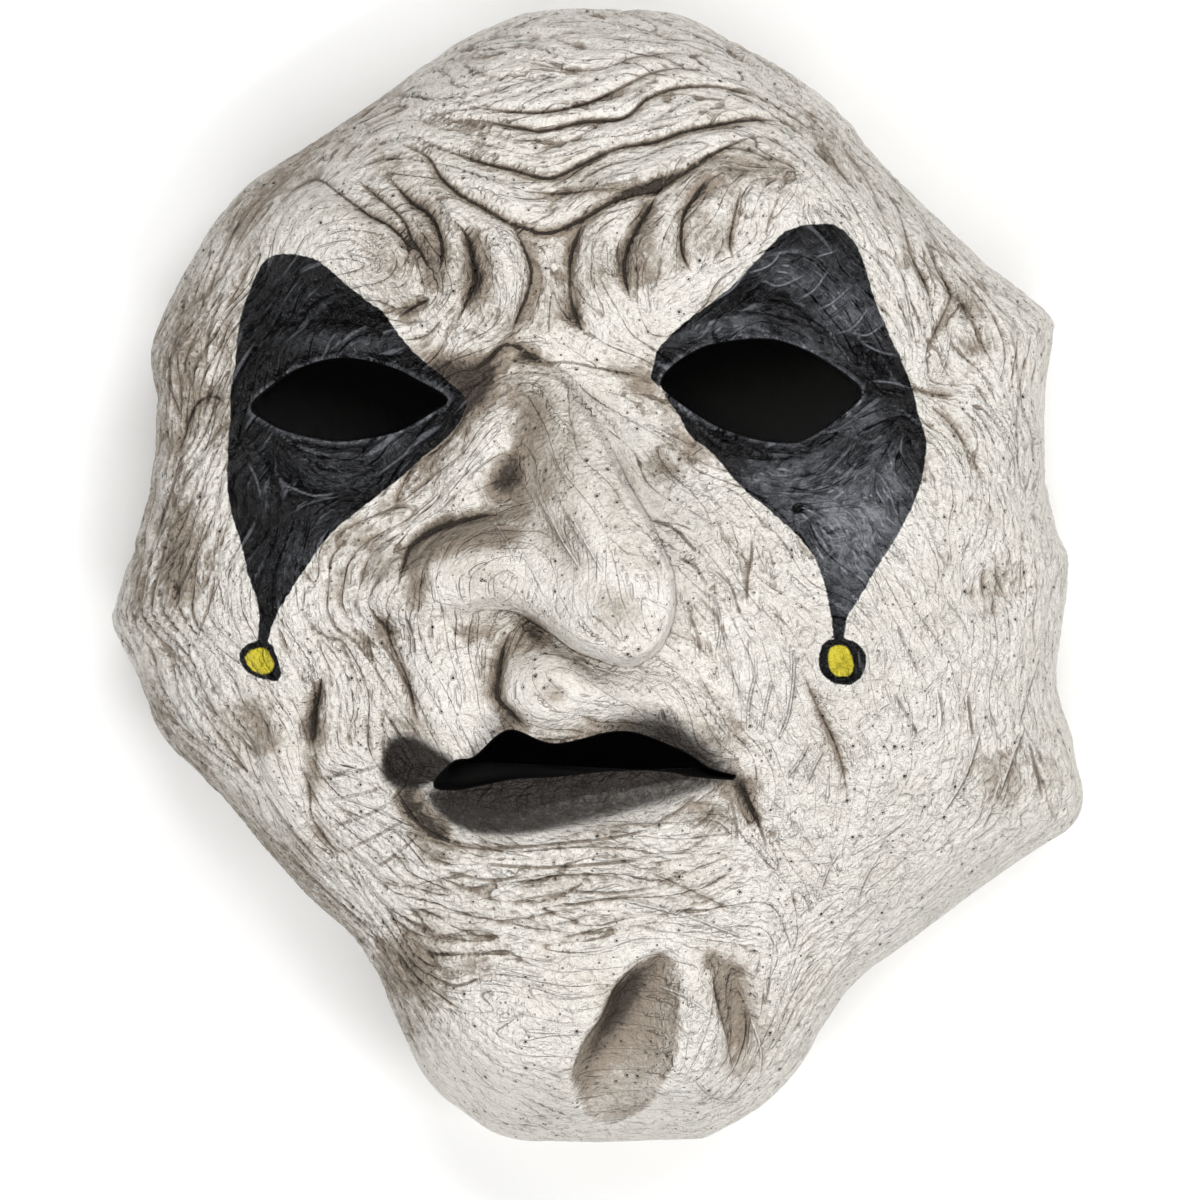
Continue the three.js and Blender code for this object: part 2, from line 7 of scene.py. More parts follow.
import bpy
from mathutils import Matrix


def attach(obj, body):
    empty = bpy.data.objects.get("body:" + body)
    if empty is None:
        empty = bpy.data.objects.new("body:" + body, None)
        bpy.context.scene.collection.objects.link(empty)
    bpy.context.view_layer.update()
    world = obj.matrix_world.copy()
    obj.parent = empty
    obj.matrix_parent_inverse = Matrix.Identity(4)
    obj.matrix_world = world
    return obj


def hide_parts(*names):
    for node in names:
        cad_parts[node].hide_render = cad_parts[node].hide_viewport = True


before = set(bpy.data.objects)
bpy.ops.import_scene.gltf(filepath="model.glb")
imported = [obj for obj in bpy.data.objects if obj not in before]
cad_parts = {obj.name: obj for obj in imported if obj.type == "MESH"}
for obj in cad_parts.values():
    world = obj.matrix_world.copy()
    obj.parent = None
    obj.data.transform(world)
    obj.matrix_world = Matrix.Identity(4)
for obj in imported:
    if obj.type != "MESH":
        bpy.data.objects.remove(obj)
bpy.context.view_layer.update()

# %% [markdown]
# ## Sizes
# Everything is measured in millimetres, as a mask maker would, and turned to metres only when the mesh
# is made. The shell lies on its trimmed rim, z = 0. Its widest line is 22 mm up, and the dome of the
# face rises to 78 mm before any carving.

# %% Sizes
import math

import bpy
import numpy as np

MM = 0.001
WIDEST_LEVEL = 22
DOME_TOP = 78
DOME_FULLNESS = 2.3
WALL = 3.2
RIM_TUCK = 0.03
WIDEST_SHARE = 0.88

OUTLINE = [
    (-8.5, 130), (5, 130), (17, 129), (28, 124.5), (46, 114), (57, 105), (63.5, 96.5), (86.5, 74),
    (103, 60.5), (104.5, 54), (103, 44), (103, 23.5), (105.5, 10.5), (108.5, 2), (105.5, -23), (109.5, -39),
    (111.5, -51.5), (108, -58.5), (95.5, -66.5), (69.5, -85.5), (60, -92.5), (53.5, -101), (43.5, -116.5),
    (28.5, -127.5), (17, -129.5), (-18, -129.5), (-32.5, -122), (-40, -114.5), (-45, -104.5), (-54.5, -85),
    (-67, -73), (-75.5, -63.5), (-85.5, -51.5), (-99.5, -37), (-105.5, -23), (-111, -11.5), (-110, -4.5),
    (-103, 18), (-101, 38.5), (-102, 53.5), (-92, 74.5), (-82, 88), (-69, 97), (-52, 108), (-34, 121),
    (-18, 128.5),
]
print("outline points:", len(OUTLINE))

# %% [markdown]
# ## Drawn lines
# A fold is drawn as a few points that a smooth curve runs through, as a sculptor scribes it in clay.
# `nearest` tells every point of the mask how far it is from such a line, how far along, and on which side.

# %% Curves through a few points
CURVE_STEPS = 9


def curve_through(points, closed=False):
    """A smooth curve through a few points, as many short straight steps."""
    p = np.array(points, float)
    before, after = np.roll(p, 1, 0), np.roll(p, -1, 0)
    beyond = np.roll(p, -2, 0)
    if not closed:
        before[0] = 2 * p[0] - p[1]
        beyond[-2] = 2 * p[-1] - p[-2]
        p, before, after, beyond = p[:-1], before[:-1], after[:-1], beyond[:-1]
    t = (np.arange(CURVE_STEPS) / CURVE_STEPS)[None, :, None]
    a, b, c, d = (v[:, None] for v in (before, p, after, beyond))
    bends = (3 * b - a - 3 * c + d) * t**3 + (2 * a - 5 * b + 4 * c - d) * t**2
    dots = (0.5 * (2 * b + (c - a) * t + bends)).reshape(-1, 2)
    return np.vstack([dots, dots[:1] if closed else [points[-1]]])


def smooth_step(t):
    t = np.clip(t, 0, 1)
    return t * t * (3 - 2 * t)


def nearest(line, x, y):
    """Distance to a curve, share of the way along it, and whether a point is to the left of its travel."""
    gap, share, left = np.full(x.shape, 1e9), np.zeros(x.shape), np.zeros(x.shape, bool)
    lengths = np.hypot(*np.diff(line, axis=0).T)
    run = np.concatenate([[0], np.cumsum(lengths)])
    for i in np.nonzero(lengths > 1e-9)[0]:
        ex, ey = (line[i + 1] - line[i]) / lengths[i]
        rx, ry = x - line[i, 0], y - line[i, 1]
        t = np.clip(rx * ex + ry * ey, 0, lengths[i])
        dx, dy = rx - t * ex, ry - t * ey
        here = np.hypot(dx, dy)
        closer = here < gap
        gap[closer] = here[closer]
        share[closer] = (run[i] + t[closer]) / run[-1]
        left[closer] = (ex * dy - ey * dx > 0)[closer]
    return gap, share, left


def within(line, x, y):
    """Which points are inside a closed line."""
    inside = np.zeros(x.shape, bool)
    for (ax, ay), (bx, by) in zip(line[:-1], line[1:]):
        if ay != by:
            inside ^= ((ay > y) != (by > y)) & (x < ax + (y - ay) / (by - ay) * (bx - ax))
    return inside


def depth_inside(points, x, y):
    """Millimetres inside a closed line, and negative outside it."""
    line = curve_through(points, closed=True)
    gap, _, _ = nearest(line, x, y)
    return np.where(within(line, x, y), gap, -gap)


def close_to(line, margin, x, y):
    """Which points are in the box around a line, with a margin."""
    low, high = line.min(0) - margin, line.max(0) + margin
    return (x > low[0]) & (x < high[0]) & (y > low[1]) & (y < high[1])


print("steps between drawn points:", CURVE_STEPS)

# %% [markdown]
# ## The shell's skin
# The skin is a square net laid onto the mask's round plan, the way a cloth is draped over a dome. Its
# threads run close together over the face and wider apart down the side walls, where less shows.

# %% How far the outline reaches in every direction
edge_line = curve_through(OUTLINE, closed=True)
edge_angle = np.arctan2(edge_line[:-1, 1], edge_line[:-1, 0])
edge_order = np.argsort(edge_angle)
edge_reach = np.hypot(*edge_line[:-1][edge_order].T)
CALM_SPREAD = 24


def outline_reach(angle):
    return np.interp(angle, edge_angle[edge_order], edge_reach, period=2 * math.pi)


degrees = np.radians(np.arange(360))
offsets = np.arange(-90, 91)
calm_weights = np.exp(-0.5 * (offsets / CALM_SPREAD) ** 2)
calm_weights /= calm_weights.sum()
calm_list = np.array([outline_reach(d + np.radians(offsets)) @ calm_weights for d in degrees])


def calm_reach(angle):
    """The outline with its corners blurred: the dome inside follows this one."""
    return np.interp(angle, degrees, calm_list, period=2 * math.pi)


print("reach from", edge_reach.min().round(1), "to", edge_reach.max().round(1), "mm")

# %% The profile from the middle of the face to the rim, and how the net's threads are spread along it
MEAN_REACH = edge_reach.mean()
OPEN_FROM = 0.6
OPEN_BY = 1.6


def profile(share, inset=0):
    """Plan radius as a share of the reach, and height, at a share of the way from the middle to the rim."""
    turn = np.minimum(share / WIDEST_SHARE, 1) * math.pi / 2
    drop = np.maximum(share - WIDEST_SHARE, 0) / (1 - WIDEST_SHARE)
    out = np.sin(turn) ** (2 / DOME_FULLNESS)
    rise = (DOME_TOP - WIDEST_LEVEL - inset) * np.maximum(np.cos(turn), 0) ** (2 / DOME_FULLNESS)
    return out, drop, WIDEST_LEVEL * (1 - drop) + rise


table_share = np.linspace(0, 1, 2001)
table_out, table_drop, table_z = profile(table_share)
steps = np.hypot(np.diff(table_out * (1 - RIM_TUCK * table_drop**2)) * MEAN_REACH, np.diff(table_z))
table_arc = np.concatenate([[0], np.cumsum(steps)])
spacing = 1 + OPEN_BY * smooth_step((table_arc / table_arc[-1] - OPEN_FROM) / (1 - OPEN_FROM))
table_way = np.concatenate([[0], np.cumsum(steps / spacing[1:])])
table_way /= table_way[-1]
print("from the middle to the rim over the skin:", table_arc[-1].round(1), "mm")


# %% A net of points over the dome
def even_threads(rows, columns):
    return np.meshgrid(np.linspace(-1, 1, columns + 1), np.linspace(-1, 1, rows + 1))


def skin_net(u, v, inset=0.0):
    """The plain dome as a net: angle, share of the reach, position and share of the carving's height."""
    px, py = u * np.sqrt(1 - v * v / 2), v * np.sqrt(1 - u * u / 2)
    angle = np.arctan2(py, px)
    share = np.interp(np.minimum(np.hypot(px, py), 1), table_way, table_share)
    out, drop, z = profile(share, inset)
    calm = calm_reach(angle)
    reach = calm + (outline_reach(angle) - calm) * out**5
    radius = out * (reach - inset) * (1 - RIM_TUCK * drop**2)
    carving = 1 - smooth_step((out - 0.86) / 0.14)
    arc = np.interp(share, table_share, table_arc) * outline_reach(angle) / MEAN_REACH
    flat = np.stack([arc * np.cos(angle), arc * np.sin(angle)], -1)
    place = np.stack([radius * np.cos(angle), radius * np.sin(angle), z], -1)
    return {"angle": angle, "out": out, "drop": drop, "place": place, "carving": carving, "flat": flat}


OUTER_ROWS, OUTER_COLUMNS = 324, 288
INNER_ROWS, INNER_COLUMNS = 81, 72
print("threads of the outer net:", OUTER_ROWS + 1, "by", OUTER_COLUMNS + 1)

# %% [markdown]
# ## Tools for carving
# Four tools do all the carving. A swelling is a soft lump or hollow. A roll is a rounded ridge of skin. A
# crease is a sharp cut between two puffed folds. A lap is a fold that hangs over the one below it.

# %% The carving tools
def blob(at, size, turn, x, y):
    """1 at the middle of a soft oval, fading to 0 around it."""
    c, s = math.cos(math.radians(turn)), math.sin(math.radians(turn))
    dx, dy = x - at[0], y - at[1]
    return np.exp(-1.1 * (((dx * c + dy * s) / size[0]) ** 2 + ((dy * c - dx * s) / size[1]) ** 2))


def along(values, share):
    """A value that changes evenly along a line, such as a fold's depth."""
    values = np.atleast_1d(values)
    return np.interp(share, np.linspace(0, 1, len(values)), values)


NARROW_END = 0.4


def lane(through, wide, x, y, ends, closed=False):
    """The points near a line: which ones, distance over width, share along, side, and fade at the ends."""
    line = curve_through(through, closed)
    near = close_to(line, float(np.max(wide)), x, y)
    gap, share, left = nearest(line, x[near], y[near])
    fade = np.ones(share.shape)
    if ends:
        fade = smooth_step(share / ends) * smooth_step((1 - share) / ends)
    q = np.clip(gap / (along(wide, share) * (NARROW_END + (1 - NARROW_END) * fade)), 0, 1)
    return near, q, share, left, fade


FOLD_ENDS = 0.3
ROLL_FULL, CREASE_FULL = 1.3, 0.8
LAP_LIP, LAP_RISE, LAP_TUCK = 0.5, 0.9, 0.5


def swelling(z, x, y, at, size, rise, turn):
    z += rise * blob(at, size, turn, x, y)


def roll(z, x, y, through, wide, rise):
    near, q, share, _, fade = lane(through, wide, x, y, FOLD_ENDS)
    z[near] += along(rise, share) * fade * (1 - q * q) ** ROLL_FULL


def crease(z, x, y, through, wide, deep):
    near, q, share, _, fade = lane(through, wide, x, y, FOLD_ENDS)
    z[near] -= along(deep, share) * fade * (1 - (q * (2 - q)) ** CREASE_FULL)


def lap(z, x, y, through, wide, deep):
    """The skin to the left of the line's travel hangs over the skin to its right."""
    near, q, share, left, fade = lane(through, wide, x, y, FOLD_ENDS)
    lip = np.clip(q / LAP_LIP, 0, 1)
    over = lip * (2 - lip)
    hanging = LAP_RISE * over * (1 - q) ** 1.5 - LAP_TUCK * (1 - over)
    tucked = LAP_TUCK * (np.sqrt(q * (2 - q)) - 1)
    z[near] += along(deep, share) * fade * np.where(left, hanging, tucked)


EDGE_REACH = 46


def inside_edge(through, rounding, grip, x, y, closed=False):
    """0 at a contour and beyond it, 1 well inside; inside is to the right of the contour's travel."""
    factor = np.ones(x.shape)
    near, _, share, left, _ = lane(through, EDGE_REACH, x, y, 0, closed)
    gap, _, _ = nearest(curve_through(through, closed), x[near], y[near])
    q = np.clip(gap / along(rounding, share), 0, 1)
    rounded = np.where(left, 0, np.sqrt(1 - (1 - q) ** 2))
    factor[near] = 1 - along(grip, share) * (1 - rounded)
    return factor


def soft_max(a, b, blend):
    mix = np.clip(0.5 + 0.5 * (a - b) / np.maximum(blend, 1e-6), 0, 1)
    return b * (1 - mix) + a * mix + blend * mix * (1 - mix)


print("tools: swelling, roll, crease, lap")

# %% [markdown]
# ## The main forms
# The sculptor blocks these in first: sockets, brows, cheeks, the muzzle with the two lobes of the upper
# lip, the lower lip and the lumpy chin. They repeat the solid's own forms, so that the two agree.

# %% Swellings and hollows: middle, half width and height, rise, turn
SWELLINGS = [
    ((-60, 38), (32, 24), -8, 0), ((38, 40), (32, 24), -8, 0), ((-5, 100), (70, 34), 2, 0),
    ((-52, 76), (30, 17), 7, -8), ((44, 84), (32, 16), 7, -8), ((-61, 78), (14, 12), 3, 0),
    ((-48.5, 72.5), (9, 8), 2.5, 0), ((-25, 68), (16, 20), 5, 0), ((14, 72), (20, 20), 5, 0),
    ((-10, 62), (12, 24), -4, 0), ((-94, 36), (12, 16), -3, 0), ((80, 44), (12, 16), -4, 0),
    ((88, -3), (9, 8), -4, 0), ((-76, -8), (22, 34), 4, 0), ((66, -24), (32, 44), 5, 0),
    ((-19.5, 22), (7, 12), -3.6, 15), ((14, 24), (8, 5), -3, 0), ((-50, -84), (14, 16), -3, 0),
    ((-5, -34), (44, 26), 7, 0), ((-34, -26), (14, 17), 6, 12), ((-11, -24.5), (11, 10), 6, 0),
    ((-9.8, -26.6), (3.6, 3.2), -3, 0), ((-10.6, -20.6), (2.6, 1.8), 0.9, 0), ((5, -34), (4, 5), -2, 0),
    ((32, -101), (4.5, 15), -3, 8), ((-44, -41), (8, 6), -4, 0), ((0, -80), (46, 10), -2, 0),
    ((2, -112), (40, 24), 6, 0), ((-22, -112), (14, 13), 4, 0), ((26, -120), (16, 10), 3, 0),
]
# Rounded ridges: line, half width, rise
ROLLS = [
    ([(-79, 42), (-70, 50), (-57, 53.5), (-44, 50.5), (-33, 43)], 6, 3.5),
    ([(-76, 33), (-66, 27), (-54, 26.5), (-42, 30), (-34, 36)], 5.5, 2.6),
    ([(14, 47), (22, 54.5), (34, 57.5), (47, 55), (60, 44)], 6, 3.5),
    ([(17, 38), (28, 29), (42, 25.5), (54, 30), (60, 38)], 5.5, 2.6),
    ([(-21, 40), (-26.5, 28), (-31.5, 18.5), (-37, 12.5)], 8, 4.5),
    ([(-43, 9), (-47.5, 1), (-51.5, -6), (-49.5, -13)], 6, 2.6),
    ([(-71, -28), (-71.5, -42), (-70, -52), (-65, -64)], 6, 3), ([(20, -86), (21, -96), (24, -106)], 5, 2),
    ([(29, -86), (31.5, -95), (33, -104), (33, -114)], 5, -1.6),
    ([(-10, -26), (2, -26.5), (12, -27), (22, -34), (32, -44)], 7.5, 5),
    ([(-41, -50), (-30, -53), (-16, -52), (0, -49.5), (15, -47.5), (30, -46)], 7.5, 7),
]
print("swellings:", len(SWELLINGS), "ridges:", len(ROLLS))

# %% [markdown]
# ### Nose and chin pit
# The nose is a hooked ridge with one wing, and its right side drops straight to the cheek. A lump would
# blur that edge, so the heights around two drawn lines are cut off at a drawn contour. The wide pit in
# the chin is the same thing turned over: a hollow that starts sharply at its outline.

# %% The nose: a ridge and one wing, cut off sharply along its right side and underside
NOSE_HEIGHT = 26.7
NOSE_RIDGE = [(-13, 50), (-6, 34), (1, 18), (5, 5), (4, -7)]
NOSE_SPREAD = [18, 27, 34, 36, 30]
NOSE_RISE = [0, 0.33, 0.67, 0.9, 1]
WING = [(6, -3), (-10, 0.5), (-22, 2.5), (-34, 0.5), (-43, -5)]
WING_SPREAD = [17, 15, 13, 11.5, 8]
WING_RISE = [0.74, 0.66, 0.6, 0.45, 0.22]
NOSE_CONTOUR = [
    (-17, 52), (-8.5, 45.5), (-2.5, 37.5), (3, 29), (6.5, 21.5), (10, 15.5), (12.5, 11.5), (15, 5.5),
    (17, 0.5), (17.5, -6.5), (16.5, -12), (14, -16.5), (9.5, -20), (5, -20.5), (0, -19), (-5, -17),
    (-10, -13.5), (-14.5, -10.5), (-18, -8.5), (-21.5, -8), (-26, -8), (-32.5, -10.5), (-38, -12),
    (-46, -13),
]
NOSE_GRIP = [0, 0.8, 1, 1, 1, 1, 1, 1, 1, 1, 1, 0.9, 0.5, 0]
NOSE_ROUNDING = [2, 1.7, 1.5, 1.4, 1.4, 1.4, 1.5, 1.8, 2.4, 3.2, 3.8, 3.6, 3, 2.8, 2.8]
NOSE_REACH = 30


def nose(x, y):
    height = np.zeros(x.shape)
    near = (x > -80) & (x < 52) & (y > -46) & (y < 84)
    px, py = x[near], y[near]
    gap, share, left = nearest(curve_through(NOSE_RIDGE), px, py)
    flank = np.clip(gap / along(NOSE_SPREAD, share), 0, 1)
    steep = np.clip(1 - 0.6 * (gap / NOSE_REACH) ** 1.5, 0, 1)
    bridge = NOSE_HEIGHT * along(NOSE_RISE, share) * np.where(left, steep, (1 - flank**1.8) ** 1.6)
    gap, share, _ = nearest(curve_through(WING), px, py)
    q = np.clip(gap / along(WING_SPREAD, share), 0, 1)
    wing = NOSE_HEIGHT * along(WING_RISE, share) * (1 - q * q) ** 0.9
    blend = 8 * np.clip(np.maximum(bridge, wing) / 8, 0, 1)
    edge = inside_edge(NOSE_CONTOUR, NOSE_ROUNDING, NOSE_GRIP, px, py)
    height[near] = soft_max(bridge, wing, blend) * edge
    return height


print("nose:", NOSE_HEIGHT, "mm high")

# %% The wide pit of the chin, sharp along its left side, and the main forms together
CHIN_PIT = [
    (16, -85), (12.5, -85), (8, -88.5), (4, -93), (1, -99.5), (-3, -105.5), (-5.5, -112.5),
    (-4.5, -119), (-1.5, -123.5), (5, -124), (11, -121), (15.5, -114.5), (18, -107.5), (18.5, -97),
    (18.5, -89),
][::-1]
PIT_ROUNDING = [9, 9, 8, 6, 4.5, 3.5, 2.6, 2.4, 2.4, 2.4, 3.2, 7]
PIT_DEPTH = 9


def chin_pit(x, y):
    depth = np.zeros(x.shape)
    near = (x > -8) & (x < 20) & (y > -126) & (y < -83)
    px, py = x[near], y[near]
    edge = inside_edge(CHIN_PIT, PIT_ROUNDING, [1], px, py, closed=True)
    depth[near] = PIT_DEPTH * blob((3, -105), (16, 26), -14, px, py) * edge
    return depth


LIP_BALL, LIP_BALL_REACH, LIP_BALL_RISE = (-11, -24.8), (10.8, 9.8), 4.2


def forms(x, y):
    """Height of the main forms over the plain dome, without the nose."""
    off = ((x - LIP_BALL[0]) / LIP_BALL_REACH[0]) ** 2 + ((y - LIP_BALL[1]) / LIP_BALL_REACH[1]) ** 2
    z = LIP_BALL_RISE * np.maximum(1 - off, 0) ** 0.8 - chin_pit(x, y)
    for at, size, rise, turn in SWELLINGS:
        swelling(z, x, y, at, size, rise, turn)
    for through, wide, rise in ROLLS:
        roll(z, x, y, through, wide, rise)
    return z


print("chin pit:", PIT_DEPTH, "mm deep")

# %% [markdown]
# ## The folds
# Each fold of the forehead hangs over the next, so its lower edge is a sharp crease and its back is
# round. The brows are gathered in crescents beside the frown, and the lips and cheeks are cut by creases.

# %% Laps of the forehead, drawn from left to right so that the skin above hangs over the skin below
FOREHEAD_LAPS = [
    ([(-14, 126.5), (6, 124), (24, 123)], 4, 0.7),
    ([(-23, 118.5), (-12.5, 115.5), (0, 114.5), (8.5, 117.5), (17.5, 118.5), (27.5, 116.5)], 4.5, 1.3),
    ([(-30.5, 115), (-21, 112.5), (-4, 112.5)], 3.5, 0.9),
    ([(-37.5, 109.5), (-32, 107), (-23.5, 105), (-15, 104.5), (-8.5, 105), (-1.5, 107), (7.5, 111.5),
       (13, 114), (21.5, 114.5), (34, 112)], 5, [1.4, 2.2, 2.2, 1.6, 1]),
    ([(-42.5, 106.5), (-35.5, 103.5), (-25.5, 102.5), (-17, 101), (-12.5, 100.5), (-3, 102.5), (6, 103.5),
       (11.5, 108), (18, 110.5), (26, 111), (33, 109.5), (44, 105)], 5.5, [1.6, 2.4, 2.6, 2.4, 1.2]),
    ([(-33.5, 103), (-27.5, 101.5), (-19.5, 98.5), (-13, 98)], 3.5, 1),
    ([(-45, 98.5), (-32, 95), (-25.5, 93), (-19, 91.5), (-11, 89.5), (-4, 92.5), (4.5, 96.5), (13, 98),
       (20, 100.5), (27.5, 102), (34.5, 103), (42, 102.5), (50, 98)], 6.5, [1.6, 2.6, 3, 2.8, 2.4, 2]),
    ([(-24, 88), (-17.5, 86.5), (-11, 86), (-4, 86), (5.5, 86.5), (13, 88.5), (20, 91.5), (30, 95)],
       4.5, [1, 1.6, 1.8, 1.6]),
    ([(-54, 102), (-45.5, 98), (-38.5, 94.5), (-35.5, 90), (-31, 86), (-25.5, 83), (-20.5, 80), (-15, 78),
       (-12, 77), (-8, 78), (-2.5, 81), (4.5, 85), (14.5, 88), (25, 94.5), (36, 99), (47, 98)],
       7.5, [1.6, 2.6, 3.6, 4.4, 4, 3, 2.2]),
]
print("laps of the forehead:", len(FOREHEAD_LAPS))

# %% Crescents of the two brows and the root of the nose
BROW_CREASES = [
    ([(-20, 80), (-16, 74), (-14, 68), (-15, 62.5), (-17.5, 57.5), (-20, 52)], 6, 3),
    ([(-34, 81), (-29.5, 77), (-28, 71.5), (-27, 66), (-29, 62.5), (-33, 54)], 7, [3, 5, 5, 4]),
    ([(-29.5, 81), (-26, 75.5), (-24.5, 71), (-23, 67.5)], 3, 1),
    ([(-49.5, 89.5), (-46, 88.5), (-42, 85), (-37.5, 81.5), (-35.5, 76.5), (-35, 71.5), (-36, 66)],
       4.5, 2.6),
    ([(-56.5, 91), (-47.5, 84.5), (-43.5, 80.5), (-41.5, 75.5), (-39.5, 72), (-37, 66)], 4, 2.2),
    ([(-74, 80), (-72, 84.5), (-68, 89), (-64, 90.5), (-58.5, 87), (-51.5, 82), (-47.5, 80), (-44, 77),
       (-42.5, 74), (-43, 70), (-48, 65)], 4.5, [1, 2, 2.4, 2.4, 2]),
    ([(-45.5, 57.5), (-41, 60), (-37, 62)], 4, 2),
    ([(-3, 81), (-6, 73), (-6.5, 67.5), (-6, 60.5), (-2.5, 52.5)], 5.5, 3),
    ([(14.5, 88), (9, 79), (6, 73), (5.5, 67.5), (8, 60)], 6, 3.4),
    ([(26, 91), (20, 82.5), (19, 77.5), (19.5, 71.5), (22, 66)], 5.5, 2.6),
    ([(32.5, 88), (31, 80.5), (30, 74), (31, 69)], 4, 1.8), ([(42, 88), (38.5, 78.5), (38, 74)], 3.5, 1.2),
    ([(-33, 43), (-26, 47), (-20, 51.5), (-13, 48.8), (-6, 48), (0, 46.5), (7, 45), (14, 43)],
       4.5, [2, 2.6, 2.2, 2, 1.6]),
    ([(-33, 41), (-28, 42.5), (-23, 45.5)], 3, 1.6),
]
BROW_ROLLS = [
    ([(-24, 82), (-20.5, 75), (-19, 68), (-21, 60), (-27, 52)], 5.5, 1.6),
    ([(-35, 84), (-31.8, 77), (-31, 70), (-32, 62)], 3.5, 1.2),
    ([(2, 82), (0, 74), (-0.5, 67), (1, 58)], 5.5, 1.4),
    ([(17, 84), (13, 77), (12.5, 69), (15, 61)], 6, 1.4),
]
print("brow creases:", len(BROW_CREASES))

# %% [markdown]
# ### Creases of the face
# These are the cuts of the loop tool round the nose, lips, cheeks, temples and lids. Each is a line, how
# wide it opens and how deep it goes, so one can be moved or deepened without touching the rest.

# %% Creases of the nose, lips, chin, temples and lids, and all folds together
FACE_CREASES = [
    ([(-17, -11), (-20.5, -14.5), (-22, -19), (-23, -24.5), (-22.5, -28.5), (-19, -32), (-14, -35)],
       4, [1.2, 2, 2.6, 2.6, 1.4]),
    ([(-41, -54), (-36.5, -58.5), (-32, -61), (-26.5, -62), (-17, -62.5), (-4, -61.5), (9.5, -61.5),
       (16, -59)], 4, 1.5),
    ([(-44, -5), (-47, -9.5), (-47.5, -13), (-43.5, -23), (-40, -34)], 5, 1.8),
    ([(31.5, -45.5), (34, -51.5), (37.5, -59)], 4, [2.4, 1.8, 0.6]),
    ([(-61.5, -21.5), (-63, -26), (-64.6, -31), (-64.8, -35), (-64, -40)], 5, [2, 4.5, 4.5, 2]),
    ([(-66, -43), (-65, -49), (-64.5, -55.5), (-61, -61.5), (-55, -64)], 4, 1.8),
    ([(43.5, -18), (46, -22), (49.5, -30), (53, -37), (55.5, -45), (56.5, -55)],
       5, [0.6, 1.4, 1.8, 1.4, 0.6]),
    ([(12, 12.5), (17, 10.5), (20.5, 7), (23, 5)], 3, 1.2),
    ([(17.5, 4.5), (22, 2), (24.5, -1.5)], 2.5, 0.9),
    ([(34.5, 10), (34.5, 4.5), (33.5, -0.5), (33.5, -8)], 3, 1),
    ([(26.5, 16), (27, 11.5), (31, 6.5), (33.5, 1.5)], 3, 1),
    ([(-82.5, 37.5), (-87.5, 40.5), (-92.5, 37.5), (-96, 26)], 4, 1.8),
    ([(-80, 36), (-86, 33), (-91, 26)], 3, 1.2),
]
CHIN_LAPS = [
    ([(-45, -7), (-44.5, -2), (-43.5, 3), (-42, 7), (-38, 10), (-32, 12.3), (-24.5, 13.6), (-18, 12.5)],
       6, [1, 2.4, 2.8, 2.4, 1]),
    ([(-49, -71.5), (-37.5, -69), (-32, -67.5), (-25, -65.5)], 3.5, 1.1),
    ([(-23, -71.5), (-11.5, -68), (1.5, -67.5), (9.5, -69.5)], 3.2, 1.1),
    ([(-20, -74), (-11.5, -72), (-6, -71.5)], 2.6, 0.8),
    ([(-46, -77.5), (-41.5, -76.5), (-37.5, -74.5)], 3, 0.9),
    ([(-26.5, -78.5), (-15.5, -77), (-8, -75.5), (-0.5, -74.5)], 3.2, 1.1),
    ([(-38, -82), (-33, -81), (-26.5, -80), (-21, -82.5)], 3.4, 1.1),
    ([(-12, -79), (-6, -78), (-2.5, -76.5), (5, -76.5)], 3, 0.9),
    ([(-10, -82), (-0.5, -80), (5, -78.5)], 3, 1),
    ([(9.5, -66), (18, -69.5), (27.5, -74), (33, -76.5)], 3.5, 1.2),
    ([(31, -116), (29.8, -106), (27.4, -96), (25.2, -85.5)], 6, [0.6, 1.4, 1.8, 0.8]),
]
TEMPLE_CREASES = [
    ([(62, 91.5), (68, 85.5), (69.5, 81.5), (70.5, 77.5), (72, 72.5), (74.5, 67), (75.5, 62.5), (74.5, 56)],
       4, 1.6),
    ([(74, 81.5), (76, 75.5), (77.5, 70), (80, 66), (80.5, 63.5), (78, 57.5), (75, 51.5), (73.5, 45.5)],
       4, 1.6),
    ([(81, 64), (84, 60.5), (86.5, 57)], 3, 1), ([(70.5, 42.5), (77, 41), (82, 40.5)], 3.5, 1.4),
    ([(72.5, 39.5), (78.5, 36), (83, 30.5), (86.5, 23.5), (87.5, 17)], 4, 1.2),
    ([(54, 100), (60, 93), (64, 85), (66, 76)], 4, 1.4), ([(47, 98), (55, 92.5), (60, 85)], 4, 1.2),
    ([(-78, 86), (-84, 78), (-88, 68), (-91, 58)], 4, 1.3),
    ([(-64, 95), (-74, 88), (-80, 80), (-85, 70), (-88, 58)], 3.5, 1.2),
]
